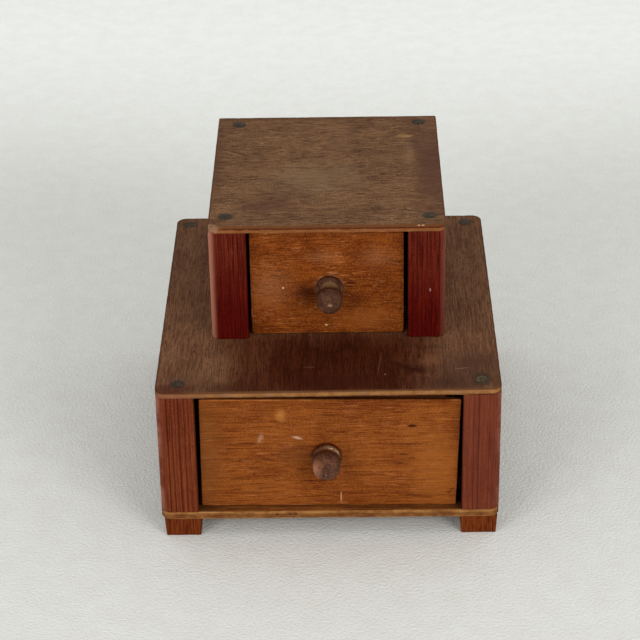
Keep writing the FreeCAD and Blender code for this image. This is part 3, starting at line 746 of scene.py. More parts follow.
# The marks on the panels, in mm and display colours: place, reach, colour, amount, softness,
# raggedness, grit, and what else a mark has. Those on the tops' faces leave the level out.
ALONG_Y = dict(Grain=(1.0, 0.12, 1.0))
PURPLE = (80, 50, 38)
UPPER_TOP_MARKS = (
    ((-8, 20), (40, 34), (124, 100, 74), 0.4, 0.9, 0.4, 70),
    ((-36, -18), (24, 10), PURPLE, 0.6, 0.8, 0.5, 120),
    ((66, 34), (18, 90), PURPLE, 0.8, 0.9, 0.6, 110, dict(Power=5.0)),
    ((-72, 44), (9, 74), PURPLE, 0.5, 0.8, 0.4, 90, dict(Power=5.0)),
    ((0, 116), (80, 9), (84, 54, 36), 0.5, 0.7, 0.3, 300, dict(Power=5.0)),
    ((52, 56), (5, 28), (134, 104, 76), 0.3, 0.9, 0.9, 160),
    ((50, 82), (8, 3.8), (144, 108, 64), 0.8, 0.7, 0.6, 240),
    ((-48, 23.4), (10, 0.9), (62, 34, 18), 0.8, 0.6, 0.4, 300),
    ((-59, 58), (12, 0.9), (150, 112, 82), 0.35, 0.6, 0.3, 300, dict(Turn=0.6)),
    ((-58, 60), (13, 1.3), (66, 38, 22), 0.6, 0.6, 0.3, 300, dict(Turn=0.6)),
)
LOWER_TOP_MARKS = (
    ((4, -98), (46, 14), (52, 20, 10), 0.5, 0.9, 0.3, 150),
    ((84, -82), (28, 34), (68, 42, 29), 0.75, 0.9, 0.4, 300, ALONG_Y),
    ((70, -100), (28, 17), (54, 30, 19), 0.75, 0.9, 0.4, 300, ALONG_Y),
    ((-84, -96), (24, 18), (84, 56, 38), 0.4, 0.9, 0.4, 300, ALONG_Y),
    ((-58, -104), (30, 13), (56, 28, 14), 0.65, 0.9, 0.4, 300, ALONG_Y),
    ((46, -80.5), (13, 4), (44, 14, 6), 0.75, 0.8, 0.5, 300, dict(Turn=0.5)),
    ((53, -84), (10, 6.5), (46, 16, 8), 0.75, 0.8, 0.5, 300, dict(Turn=0.4)),
    ((60, -57), (17, 4.5), (56, 34, 22), 0.35, 0.8, 0.5, 300),
    ((61, -73), (9, 8), (112, 74, 50), 0.6, 0.9, 0.9, 520),
    ((30.4, -77), (0.45, 21), (124, 80, 58), 0.34, 0.7, 0.3, 300, dict(Turn=0.1)),
    ((33.6, -89.1), (0.7, 1.1), (150, 118, 90), 0.5, 0.6, 0.3, 300),
    ((-10.7, -79.7), (4.5, 1.2), (104, 68, 48), 0.35, 0.6, 0.9, 600),
    ((79, -83), (6.5, 0.6), (132, 98, 72), 0.7, 0.7, 0.3, 300, dict(Turn=-0.2)),
    ((90.4, -95.9), (7, 12), (48, 36, 23), 0.7, 0.6, 0.4, 400),
)
UPPER_EDGE_MARKS = (
    ((-69, -44, 175.6), (8, 6, 3), (146, 108, 84), 0.7, 0.6, 0.8, 500),
    *(((across, -45, 177.2), (1.3, 2, 0.4), (206, 172, 134), 0.8, 0.6, 0.3, 300)
      for across in (54.5, 57)),
)
LOWER_EDGE_MARKS = (
    ((-92, -106, 99.2), (26, 9, 2.2), (116, 72, 52), 0.6, 0.4, 0.3, 300),
    ((-92, -104, 101.3), (16, 9, 0.6), (66, 28, 16), 0.7, 0.5, 0.4, 300),
    *(((across, -108, 99.6), (wide, 3, 1.4), (128, 96, 74), 0.6, 0.8, 0.6, 400)
      for across, wide in ((-60, 6), (-34, 3), (20, 5), (58, 4), (76, 7))),
)
# Painted shade on the base's top: beside the posts, and deepest in the gap beside the drawer's right end.
BASE_PAINTED_SHADE = (
    *(((78 * side, -100, 17.5), (20, 14, 2), (50, 24, 8), 0.65, 0.9, 0.3, 300) for side in (-1, 1)),
    ((77, -88, 17.5), (8, 13.5, 2), (20, 8, 3), 0.85, 0.4, 0.2, 300),
)
BASE_EDGE_MARKS = tuple(((across, -107.7, 15.6), (1.1, 2, 0.9), (48, 22, 8), 0.85, 0.6, 0.5, 700)
                        for across in (-31.8, -24, -20.4))


def upper_top_finish(colours):
    """The top that is handled most: worn brown, with purplish stain left at its sides."""
    finish = Finish("upper top stain", "X", rough=0.65, gloss=0.04)
    finish.wood("upper top", colours.upper_top, colours.upper_top_dark, rub=(160, 122, 88))
    level = top_of("upper_top_panel")
    finish.marks(UPPER_TOP_MARKS, (0, 0, level), axis=2)
    haloes(finish, "upper_top_dowels", level)
    edged(finish, colours, (shade(131, 81, 45), shade(88, 48, 23)), (0.44, 0.66), 0.95, 0.5,
          shade(158, 110, 72), 0.36)
    veneer(finish, 0.56, 0.7, (84, 50, 28), 0.75)
    finish.marks(UPPER_EDGE_MARKS)
    return finish


def lower_top_finish(colours):
    """Its front part is stained deepest, where the upper case keeps hands away."""
    finish = Finish("lower top stain", "Y", rough=0.65, gloss=0.04)
    finish.wood("lower top", colours.lower_top, colours.lower_top_dark, rub=(134, 100, 74))
    level = top_of("lower_top_panel")
    finish.mark((1, -80, level), (74, 54, THROUGH), (217, 188, 179), how="MULTIPLY", Softness=0.35,
                Ragged=0.22, Grit=130.0, Power=6.0, **ALONG_Y)
    deep = finish.patch((4, -80, level), (70, 50, THROUGH), Softness=0.6, Ragged=0.35, Grit=190.0,
                        Power=4.0, **ALONG_Y)
    finish.tint(deep, colours.lower_top_deep, how="MULTIPLY")
    finish.marks(LOWER_TOP_MARKS, (0, 0, level), axis=2)
    haloes(finish, "lower_top_dowels", level)
    edged(finish, colours, (colours.edge_pale, colours.edge_dark), (-0.1, 0.24), 0.6, 0.75,
          shade(154, 113, 72), 0.36)
    stain_low = spread(finish.tree, finish.along("X"), -60 * MM, 60 * MM, 0.5, 0.72)
    veneer(finish, stain_low, 0.95, (78, 46, 28), 0.9)
    finish.marks(LOWER_EDGE_MARKS)
    return finish


def base_finish(colours):
    """Raw plywood under a thin stain, with painted shade beside the posts and in the gap by the lower
    drawer's right end.
    """
    finish = Finish("base plywood", "X", rough=0.65, gloss=0.08)
    finish.wood("base", shade(134, 78, 34), shade(84, 44, 15), rub=(150, 98, 52))
    finish.marks(BASE_PAINTED_SHADE)
    edged(finish, colours, (shade(158, 110, 58), shade(90, 46, 18)), (0.12, 0.66), 0.5, 0.95,
          shade(156, 110, 64), 0.42)
    finish.marks(BASE_EDGE_MARKS)
    return finish


class CABINET_OT_panels(bpy.types.Operator):
    """Build the two plywood tops and the base"""
    bl_idname = "thread_cabinet.panels"
    bl_label = "Plywood Panels"

    def execute(self, context):
        sizes, colours = context.scene.cabinet_sizes, context.scene.cabinet_colours
        upper = (sizes.upper_front_corner,) * 2 + (sizes.upper_back_corner,) * 2
        lower = (sizes.lower_corner,) * 4
        rise = sizes.plug_rise
        # Name, node, finish, corner radii, what its dowels rise above it, how far its front right
        # corner is set back, its core's level as a share of its thickness, and its seed.
        for name, node, finish, radii, below, set_back, core, seed in (
                ("upper_top_board", "upper_top_panel", upper_top_finish, upper, rise, 0.0, 0.5, 11),
                ("lower_top_board", "lower_top_panel", lower_top_finish, lower, rise, 1.6 * MM, 0.7, 23),
                ("base_board", "lower_base_panel", base_finish, lower, 0.0, 0.0, 0.45, 37)):
            low, high = box_of(node)
            path, normals = rounded_path(plan_corners(low, high, set_back), radii, 1.1 * MM)
            rings, masks = ply_panel(path, normals, low[2], high[2] - below, sizes, seed, core)
            piece(name, skin(rings, **masks), finish(colours).done(), "cabinet", "top_plywood", node)
        return {"FINISHED"}


# ---- posts and feet ----

def sway(height, first, second, ripple):
    """How far a line of grain sways with height: a long sine of 0.12 mm and a short one of a ripple,
    each from its own phase."""
    return (0.12 * np.sin(height * 30.0 + first) + ripple * np.sin(height * 190.0 + second)) * MM


def furrows(path, height, count, deepest, seed):
    """Open grain as depths along a path: narrow bell curves at drawn places that sway with height.

    The depth at a point is the sum, over the lines, of each line's depth times a bell curve of the
    point's distance from the line over the line's width. Few lines are deep, most are shallow."""
    distance = np.append(0, np.cumsum(np.linalg.norm(np.diff(path, axis=0), axis=1)))
    draw = np.random.default_rng(seed)
    places = draw.uniform(distance.min(), distance.max(), count)
    widths = draw.uniform(0.14, 0.26, count) * MM
    depths = deepest * draw.uniform(0.0, 1.0, count) ** 1.8
    phases = draw.uniform(0, math.tau, count)
    total = np.zeros((len(height), len(distance)))
    for place, width, depth, phase in zip(places, widths, depths, phases):
        line = place + sway(height, phase, 3 * phase, 0.04)
        total += depth * np.exp(-((distance[None] - line[:, None]) / width) ** 2)
    return total


def timber_rings(path, normals, insets, levels, depth, low_rings, sizes):
    """Rings of an upright timber, and the mask of its open grain: its depth over the deepest."""
    rings, _ = slab(path, normals, insets, levels, low_rings, 1)
    furrow = np.zeros(rings.shape[:2])
    furrow[low_rings:-1] = np.clip(depth / sizes.furrow, 0, 1)
    return rings, furrow


CORNERS = ("front_left", "front_right", "back_right", "back_left")

# The deepest open grain in the front faces: its place across the face, and its width in mm.
FRONT_LINES = {
    "lower_post_front_left": ((0.29, 0.34), (0.42, 0.14), (0.6, 0.36), (0.74, 0.28), (0.87, 0.16)),
    "lower_post_front_right": ((0.14, 0.14), (0.27, 0.28), (0.41, 0.32), (0.68, 0.2), (0.86, 0.16)),
    "upper_post_front_left": ((0.3, 0.2), (0.42, 0.18), (0.55, 0.22), (0.66, 0.18), (0.78, 0.2),
                              (0.9, 0.18)),
    "upper_post_front_right": ((0.12, 0.18), (0.24, 0.2), (0.38, 0.18), (0.5, 0.22), (0.62, 0.18),
                               (0.84, 0.26)),
}


def post_mesh(node, outer_radius, sizes, seed):
    """Mesh of an upright square post with one rounded corner and open grain from end to end.

    Its section is a square with an arc at each corner. Each ring is that section moved in by the
    sum of the ends' arris, the depth of the open grain and the slow waves that hand work leaves.
    A deep line of the front face is a bell curve of the distance across from a place that sways."""
    low, high = box_of(node)
    tier, corner = node.split("_post_")
    right, back = "right" in corner, "back" in corner
    outer = CORNERS.index(corner)
    # The path starts at the inner corner, so that it closes out of sight.
    order = [(outer + 2 + index) % 4 for index in range(4)]
    inner_radius, end_arris, deepest, lines = 0.6 * MM, 0.2 * MM, 0.48 * MM, 60
    corners = plan_corners(low, high)
    path, normals = rounded_path([corners[index] for index in order],
                                 [outer_radius if index == outer else inner_radius for index in order],
                                 0.25 * MM)
    insets, levels = edge_section(high[2] - low[2], end_arris, end_arris, 44)
    depth = furrows(path, levels, lines, sizes.furrow * 0.35, seed)
    front = np.clip(-normals[:, 1], 0, 1) ** 2
    for number, (share, width) in enumerate(FRONT_LINES.get(node, ())):
        place = low[0] + share * (high[0] - low[0]) + sway(levels, 1.7 * number, number, 0.05)
        line = np.exp(-((path[None, :, 0] - place[:, None]) / (width * MM)) ** 2)
        depth += sizes.furrow * line * front[None]
    flat = np.column_stack([path, np.zeros(len(path))])
    around = flat[None] + levels[:, None, None] * np.array([0, 0, 1])
    hand = sizes.unevenness * 0.5 * uneven(around, 0.05, seed + 1)
    full = np.minimum(insets[:, None] + depth + hand, deepest)
    rings, furrow = timber_rings(path, normals, full, levels, depth, 1, sizes)
    rings[..., 2] += low[2]
    # The sideways half of the rounding, and a little of the side behind it, takes the wear and a painted
    # sheen.
    outward = smooth(0.3 if tier == "lower" else 0.1, 1.0, normals[:, 0] * (1 if right else -1))
    beyond = (high[1] - path[:, 1] if back else path[:, 1] - low[1]) - outer_radius
    rounding = outward * (1 - smooth(-0.5 * MM, 3 * MM, beyond)) * (0.35 if back else 1.0)
    return skin(rings, furrow=furrow, arris=np.broadcast_to(rounding, rings.shape[:2]))


def upright_finish(name, kind, pale, dark, line, depth, rub=(0, 0, 0)):
    """Stained wood with its grain upright, darker in its furrows."""
    finish = Finish(name, "Z")
    finish.wood(kind, pale, dark, rub)
    finish.tint(finish.attribute("furrow"), shade(*line), depth)
    return finish


def lower_post_finish(colours):
    """Duller towards the right."""
    finish = upright_finish("lower post stain", "lower post", colours.lower_post,
                            colours.lower_post_dark, (54, 13, 3), 0.95, rub=(150, 90, 66))
    finish.tint(spread(finish.tree, finish.along("X"), 0.0, 90 * MM), shade(98, 48, 38), 0.35)
    # Pale rounding: wear, and a painted highlight that is strongest on the left, where the light falls.
    finish.worn(finish.toward_left("arris", 0.45), colours.worn_post, Amount=0.5, Patches=70.0)
    return finish


def upper_post_finish(colours):
    """Darker and redder towards the ledge, and specked."""
    finish = upright_finish("upper post stain", "upper post", colours.upper_post,
                            colours.upper_post_dark, (40, 2, 1), 0.75, rub=(140, 72, 54))
    finish.tint(spread(finish.tree, finish.along("Z"), 175 * MM, 115 * MM), (0.74, 0.2, 0.16),
                how="MULTIPLY")
    # Pale rounding: wear, and a painted highlight that is strongest on the left, where the light falls.
    finish.worn(finish.toward_left("arris", 0.2), shade(162, 104, 84), Amount=0.72, Patches=70.0)
    finish.mark((61.5, face_of("upper_drawer_front"), 134.0), (0.8, THROUGH, 2.2), (190, 150, 140), 0.9,
                Softness=0.8)
    finish.flecks(shade(170, 110, 96), 0.7, Density=240.0, Size=0.1, Kept=0.05)
    return finish


class CABINET_OT_posts(bpy.types.Operator):
    """Build the eight corner posts with their open grain"""
    bl_idname = "thread_cabinet.posts"
    bl_label = "Posts"

    def execute(self, context):
        sizes, colours = context.scene.cabinet_sizes, context.scene.cabinet_colours
        finishes = {"lower": lower_post_finish(colours).done(), "upper": upper_post_finish(colours).done()}
        for number, (tier, end, side) in enumerate((t, e, s) for t in TIERS for e in ENDS for s in SIDES):
            node = f"{tier}_post_{end}_{side}"
            radius = getattr(sizes, "lower_corner" if tier == "lower" else f"upper_{end}_corner")
            mesh = post_mesh(node, radius, sizes, 100 + number)
            piece(f"{node}_wood", mesh, finishes[tier], "cabinet", f"{tier}_post_wood", node)
        return {"FINISHED"}


def foot_mesh(node, sizes, seed):
    """Mesh of a foot: a short square post, drawn in towards its sole.

    Each ring shrinks towards the foot's middle by a share that falls evenly from the taper over
    half the foot's width, at the sole, to nothing at its top."""
    low, high = box_of(node)
    height, taper, high_arris, lines = high[2] - low[2], 0.8 * MM, 0.15 * MM, 44
    path, normals = rounded_path(plan_corners(low, high), (sizes.foot_arris,) * 4, 0.3 * MM)
    insets, levels = edge_section(height, sizes.foot_arris * 0.6, high_arris, 16)
    depth = furrows(path, levels, lines, sizes.furrow * 0.6, seed)
    full = np.minimum(insets[:, None] + depth, 0.9 * sizes.foot_arris)
    rings, furrow = timber_rings(path, normals, full, levels, depth, 2, sizes)
    middle = (low[:2] + high[:2]) / 2
    lean = taper * (1 - rings[..., 2] / height) / ((high[0] - low[0]) / 2)
    rings[..., :2] = middle + (rings[..., :2] - middle) * (1 - lean[..., None])
    rings[..., 2] += low[2]
    return skin(rings, furrow=furrow)


class CABINET_OT_feet(bpy.types.Operator):
    """Build the four short tapered feet"""
    bl_idname = "thread_cabinet.feet"
    bl_label = "Feet"

    def execute(self, context):
        sizes, colours = context.scene.cabinet_sizes, context.scene.cabinet_colours
        material = upright_finish("foot stain", "foot", colours.foot, shade(74, 25, 5), (44, 10, 2),
                                  0.85).done()
        for number, node in enumerate(f"foot_{end}_{side}" for end in ENDS for side in SIDES):
            mesh = foot_mesh(node, sizes, 200 + number)
            piece(f"{node}_wood", mesh, material, "cabinet", "foot_wood", node)
        return {"FINISHED"}


# ---- dowels ----

def turned_rings(centre, radii, levels, steps, wobble):
    """Rings of a turned shape about an upright axis: each ring is its radius times one plus a
    wobble, at the cosine and sine of evenly spaced angles."""
    angles = np.linspace(0, math.tau, steps, endpoint=False)
    ring = np.stack([np.cos(angles), np.sin(angles)], axis=1)
    flat = ring[None] * (np.asarray(radii)[:, None] * (1 + wobble))[..., None] + centre
    height = np.broadcast_to(np.asarray(levels)[:, None], flat.shape[:2])
    return np.concatenate([flat, height[..., None]], axis=2)


def dowel_rings(centre, low, high, radius):
    """Rings of one dowel, whose side is straight and whose upper end is eased and slightly domed.

    The eased arris is a quarter of an ellipse: its radius falls with one less the cosine of an
    angle from 0 to 90 degrees, and its level rises with 0.7 of the sine."""
    arris, angle = 0.35 * MM, np.linspace(0, math.pi / 2, 5)
    dome = arris * 0.3
    radii = np.concatenate([[radius * 0.5, radius, radius], radius - arris * (1 - np.cos(angle)),
                            radius * np.array([0.7, 0.4, 0.15])])
    levels = np.concatenate([[low, low, high - arris * 1.5], high - arris + arris * np.sin(angle) * 0.7,
                             high - dome + dome * np.array([0.4, 0.8, 1.0])])
    return turned_rings(centre[:2], radii, levels, 40, 0.0)


def dowel_finish(colours):
    """Dark, specked end grain. The lower front right dowel is scratched most of the way round."""
    finish = Finish("dowel end grain", "Z", gloss=0.1)
    finish.wood("dowel", colours.plug, shade(28, 20, 12))
    finish.flecks(shade(124, 108, 84), 0.7, Density=900.0, Size=0.45, Kept=0.26)
    _, _, (scratched, _, _, _), _ = rods("lower_top_dowels")
    across, along, _ = scratched / MM
    ring, pale = 2.7, (104, 95, 70)
    finish.marks((
        ((0, 0, 0), (4.2, 4.2, 4), (62, 46, 30), 0.7, 0.5, 1.2, 900),
        *(((ring * math.cos(angle), ring * math.sin(angle), 0), (1.2, 1.3, 4), pale, 0.6, 0.9, 0.8, 1100)
          for angle in np.radians((215, 170, 130, 95, 50))),
        ((0.5, -0.8, 0), (0.6, 2.0, 4), pale, 0.5, 0.9, 0.8, 1100),
    ), (across, along, top_of("lower_top_panel")))
    return finish


class CABINET_OT_dowels(bpy.types.Operator):
    """Build the dowels whose dark ends show in both tops"""
    bl_idname = "thread_cabinet.dowels"
    bl_label = "Dowels"

    def execute(self, context):
        material = dowel_finish(context.scene.cabinet_colours).done()
        for tier in TIERS:
            node = f"{tier}_top_dowels"
            work = bmesh.new()
            for rod in rods(node):
                mesh = skin(dowel_rings(*rod))
                work.from_mesh(mesh)
                bpy.data.meshes.remove(mesh)
            whole = bpy.data.meshes.new(f"{tier}_plugs")
            work.to_mesh(whole)
            work.free()
            piece(f"{tier}_plugs", whole, material, "cabinet", "dowel_wood", node)
        return {"FINISHED"}


# ---- drawer fronts and knobs ----

def front_corners(node, radius):
    """The four corners that a front's outline would have if they were sharp, anticlockwise.

    Each is the CAD board's outermost point along a diagonal, moved out by what the rounding takes
    off there: the radius times one less the square root of a half, along both axes."""
    points = node_points(node)
    off = radius * (1 - math.sqrt(0.5))
    found = []
    for across, up in ((1, 1), (-1, 1), (-1, -1), (1, -1)):
        best = points[np.argmax(points[:, 0] * across + points[:, 2] * up)]
        found.append((best[0] + off * across, best[2] + off * up))
    return found


def front_mesh(node, radius, box_ends, side_thickness, sizes, seed):
    """Mesh of a drawer front whose ends are rebated for the drawer's sides.

    Its rings run from the back face over the rebate to the front face. Behind the lip they are
    the outline with X held between the two shoulders. The front face is planed by hand, with
    slow waves that die out towards its border."""
    low, high = box_of(node)
    path, normals = rounded_path(front_corners(node, radius), (radius,) * 4, 1.0 * MM)
    face_rings, arris_rings, rebate = 26, 5, high[1] - low[1] - sizes.lip
    back_arris, deepest = 0.15 * MM, 0.72 * MM
    insets, levels = edge_section(sizes.lip, back_arris, sizes.board_arris, 4)
    insets, front_half = insets[:, None], (levels > sizes.lip / 2)[:, None]
    around = np.column_stack([path, np.zeros(len(path))])
    worn = np.where(front_half, 0.6 + 0.4 * uneven(around, 0.06, seed), 1.0)
    full = np.minimum(insets * np.where(insets > sizes.board_arris, 1.0, worn), deepest)
    rings, _ = slab(path, normals, full, levels + rebate, 0, face_rings)
    core = np.clip(path[:, 0], box_ends[0] + side_thickness, box_ends[1] - side_thickness)
    back = [np.column_stack([core, path[:, 1], np.full(len(path), level)]) for level in (0.0, rebate)]
    rings = np.concatenate([np.stack(back), rings])
    plane_by_hand(rings, path, face_rings, 12 * MM, sizes.unevenness, 0.07, seed + 1)
    number = np.arange(len(rings))
    first = len(rings) - face_rings - 1 - arris_rings
    rings[..., 2] -= high[1]
    return skin(facing_front(rings), arris=(number >= first) & (number < first + arris_rings),
                flank=number < first)


# The marks on the drawer fronts, among them a painted contact shadow round the lower knob, as on the tops,
# but with their places across and up.
TILTED = dict(Turn=-0.3, Axis=(0.0, 1.0, 0.0))
FINE = dict(Grain=(0.5, 1.0, 1.0))
FRONT_MARKS = {
    "lower": (
        # A dark ring round the knob's collar: dirt, and painted contact shadow where the collar meets the
        # face.
        ((-1.5, 53.6), (10.2, 10.2), (72, 16, 0), 0.95, 0.2, 0.12, 300),
        ((60, 52), (24, 40), (152, 88, 34), 0.45, 0.9, 0.4, 60),
        ((-72, 57), (15, 60), (112, 66, 28), 0.5, 0.9, 0.3, 70),
        ((-20, 55), (20, 11), (96, 50, 20), 0.6, 0.9, 0.4, 110),
        ((49.2, 73.6), (4.2, 1.4), (46, 12, 8), 0.95, 0.7, 0.25, 300),
        *((place, (wide, 0.8), (58, 20, 6), 0.75, 0.8, 0.5, 500) for place, wide in (
            ((49.3, 51.2), 2.6), ((42.2, 47.8), 3.8), ((73.4, 29.0), 2.5), ((71.6, 26.8), 3.0),
            ((-45.1, 41.1), 1.5), ((47, 61), 14), ((44, 54), 4), ((50, 25), 8), ((-12, 36), 5))),
        ((7.5, 40), (2.4, 2.6), (146, 66, 46), 0.5, 0.9, 0.4, 300),
        ((6.8, 24.5), (0.5, 5.6), (196, 150, 112), 0.65, 0.7, 0.3, 300),
        ((-40.8, 66.0), (2.0, 5.4), (166, 126, 100), 0.55, 0.9, 0.6, 400, TILTED),
        ((-18.8, 66.2), (4.2, 1.3), (186, 152, 124), 0.7, 0.8, 0.5, 500, TILTED),
        ((-28.5, 82.0), (4.8, 6.5), (176, 114, 56), 0.6, 0.9, 0.4, 260),
    ),
    "upper": (
        ((-12.5, 131), (13, 8.5), (64, 22, 4), 0.85, 0.9, 0.35, 150),
        ((15, 127), (11, 5), (88, 38, 12), 0.5, 0.9, 0.35, 150),
        ((24, 112), (26, 11), (142, 80, 30), 0.5, 0.9, 0.4, 60),
        ((14.1, 136.4), (4.2, 1.2), (44, 8, 4), 0.85, 0.7, 0.4, 300),
        ((1.2, 133.4), (10.4, 10.4), (142, 92, 62), 0.5, 0.3, 0.5, 300),
        ((-34, 134), (17, 19), (172, 118, 80), 0.22, 0.95, 1.6, 2000, FINE),
        ((30, 154), (15, 10), (172, 116, 74), 0.22, 0.95, 1.6, 2000, FINE),
        ((-2, 154), (15, 6), (178, 120, 76), 0.22, 0.95, 1.6, 2000, FINE),
        ((-26.8, 133.4), (0.8, 0.7), (216, 184, 146), 0.9, 0.5, 0.3, 300),
        ((-1.3, 107.6), (1.3, 0.9), (206, 168, 122), 0.8, 0.7, 0.9, 900),
    ),
}
# Their specks: colour, amount, density, size and the share that is kept.
FRONT_FLECKS = {
    "lower": (((196, 150, 112), 0.5, 190, 0.09, 0.16),),
    "upper": (((186, 140, 100), 0.45, 520, 0.26, 0.1), ((206, 162, 120), 0.8, 230, 0.1, 0.14)),
}


def front_finish(tier, colours):
    """Stained wood with its grain across, marked and specked, with rubbed arrises and painted shade on its
    edges behind the front arris.
    """
    finish = Finish(f"{tier} drawer front stain", "X")
    finish.wood(f"{tier} front", getattr(colours, f"{tier}_front"),
                getattr(colours, f"{tier}_front_dark"), rub=(180, 112, 66))
    face = face_of(f"{tier}_drawer_front")
    finish.marks(FRONT_MARKS[tier], (0, face, 0), axis=1)
    for colour, amount, density, size, kept in FRONT_FLECKS[tier]:
        finish.flecks(shade(*colour), amount, Density=density, Size=size, Kept=kept)
    finish.worn(finish.attribute("arris"), shade(160, 100, 54), Amount=0.36, Patches=80.0)
    # Painted shade on its edges behind the front arris, so that the gaps round the drawer read dark.
    finish.tint(finish.attribute("flank"), shade(58, 27, 12), 0.88)
    if tier == "lower":
        # A pale left half of its upper arris: worn wood, and painted light that lifts the painted shade of
        # its flank and the shade under the top's edge.
        finish.mark((-42, face - 0.3, 93.0), (60, 2.6, 1.5), (172, 98, 42), 0.5, Softness=0.6,
                    Ragged=0.25, Grit=400.0, Power=3.0)
    return finish


class CABINET_OT_fronts(bpy.types.Operator):
    """Build the two drawer fronts"""
    bl_idname = "thread_cabinet.fronts"
    bl_label = "Drawer Fronts"

    def execute(self, context):
        sizes, colours = context.scene.cabinet_sizes, context.scene.cabinet_colours
        radii = {"lower": sizes.lower_front_corner, "upper": sizes.upper_front_board_corner}
        for number, tier in enumerate(TIERS):
            left_low, left_high = box_of(f"{tier}_drawer_side_left")
            _, right_high = box_of(f"{tier}_drawer_side_right")
            node = f"{tier}_drawer_front"
            mesh = front_mesh(node, radii[tier], (left_low[0], right_high[0]),
                              left_high[0] - left_low[0], sizes, 300 + number * 10)
            piece(f"{tier}_front_board", mesh, front_finish(tier, colours).done(), f"{tier}_drawer",
                  "drawer_front_wood", node)
        return {"FINISHED"}


# Turned knobs in mm: radii, and distances from the drawer's face. Dirt is place, width and share.
KNOBS = {
    "lower": dict(collar=8.95, waist=7.55, head=8.35, foot=0.9, rim=4.6, hollow=5.9, shoulder=7.6,
                  crown=11.0, dome=2.7, worn=0.012, dirt=((6.2, 1.6, 1.0), (0.9, 1.7, 1.0))),
    "upper": dict(collar=8.4, waist=7.45, head=7.75, foot=1.2, rim=3.8, hollow=6.0, shoulder=15.0,
                  crown=17.2, dome=2.4, worn=0.014, dirt=((14.6, 0.8, 1.0), (1.2, 2.0, 0.9))),
}
# The marks on the knobs, among them painted highlight and shade on their heads, with places from where each
# knob's axis meets its drawer's face.
KNOB_MARKS = {
    "lower": (
        # A pale pinkish patch on the head's left: painted highlight where the light falls from the left.
        ((-7.5, -13, -1), (7.2, 9, 9), (166, 112, 88), 0.9, 0.9, 0.4, 300),
        ((0, -3.9, 6), (9, 1.6, 6), (108, 62, 34), 0.5, 0.5, 0.9, 900),
        ((-1, -8.5, 8), (6.5, 3.5, 3.5), (84, 46, 14), 0.75, 0.8, 0.4, 300),
        # A grey patch on the head's right: painted shade on the side away from the light.
        ((4, -17, 2), (4, 4, 5), (84, 52, 44), 0.5, 0.9, 0.5, 300),
        ((-3, -16, 4.5), (4, 3, 2.5), (124, 72, 36), 0.4, 0.9, 0.6, 300),
        ((-1.6, -18.4, -2.3), (1.2, 1.8, 1.0), (44, 10, 8), 0.9, 0.6, 0.6, 900),
        ((0.8, -18.3, -2.6), (0.8, 1.8, 1.1), (56, 22, 20), 0.8, 0.6, 0.6, 900),
        ((-0.3, -18.4, -1.7), (0.9, 1.8, 0.6), (150, 112, 106), 0.6, 0.6, 0.6, 900),
    ),
    "upper": (
        ((0, -9.9, 8), (8.5, 5, 6), (138, 106, 72), 0.85, 0.6, 0.9, 1000),
        # A pinkish patch on the head's lower left: painted highlight where the light falls from the left.
        ((-5, -21, -3), (2.2, 5, 4), (128, 84, 72), 0.6, 0.9, 0.5, 300),
        ((0.4, -24, 0.8), (2, 3, 1.8), (170, 132, 102), 0.5, 0.9, 1.0, 900),
        *(((7.8 * side, -8, 2), (1.4, 5, 2.4), (150, 122, 84), 0.6, 0.8, 0.6, 300) for side in (-1, 1)),
    ),
}


def knob_profile(shape, reach):
    """Radii of a turned knob at distances from the drawer's face, from its tenon to its tip.

    A squat collar stands on the face, a shallow hollow runs round behind the head, and the head
    ends in a dome. The dome's radius is the head's times the root of one less a power of the share
    of the dome that is passed."""
    collar, waist, head, foot, rim, hollow, shoulder, crown, dome = (shape[name] for name in (
        "collar", "waist", "head", "foot", "rim", "hollow", "shoulder", "crown", "dome"))
    tenon, tenon_length, tip = 3.1, 9.5, 0.05
    # The collar's side has rings close together, because its dirt and its chips lie in narrow bands.
    outline = [(-tenon_length, tenon), (0.0, tenon), (0.0, collar - 0.9), (0.3, collar - 0.25),
               (foot, collar), *((place, collar) for place in np.arange(1.5, rim - 0.7, 0.15)),
               (rim - 0.6, collar), (rim - 0.4, collar - 0.08), (rim - 0.2, collar - 0.2),
               (rim, collar - 0.4), (hollow, waist), (shoulder - 0.6, waist + 0.1),
               (shoulder, head - 0.35), (shoulder + 0.8, head)]
    share = np.linspace(0, 1, 24) ** 0.8
    distances, radii = np.transpose(outline)
    distances = np.append(distances, crown + (reach / MM - crown) * share)
    radii = np.append(radii, head * np.sqrt(np.clip(1 - share ** dome, 0, None)))
    return distances * MM, np.maximum(radii, tip) * MM


def knob_finish(tier, colours, centre, face):
    """Handled stain with dirt in the hollows, the worn and bruised places of each knob, and painted
    highlight and shade on its head.
    """
    finish = Finish(f"{tier} knob stain", "Z", gloss=0.06)
    finish.wood("knob", getattr(colours, f"{tier}_knob"), shade(58, 34, 24), rub=(156, 122, 102))
    origin = centre[0] / MM, face / MM, centre[1] / MM
    finish.marks(KNOB_MARKS[tier], origin)
    finish.tint(finish.attribute("dirt"), getattr(colours, f"{tier}_knob_dark"), 0.9)
    if tier == "lower":
        # Chips in two lines round its collar, at the upper right.
        place = [start + step for start, step in zip(origin, (5, -3, 7))]
        chipped = finish.patch(place, (6.5, 5, 5.5), Softness=0.4, Ragged=0.8, Grit=1000.0)
        finish.worn(times(finish.tree, chipped, finish.attribute("rim")), shade(214, 174, 132),
                    Amount=0.5, Patches=900.0)
    return finish


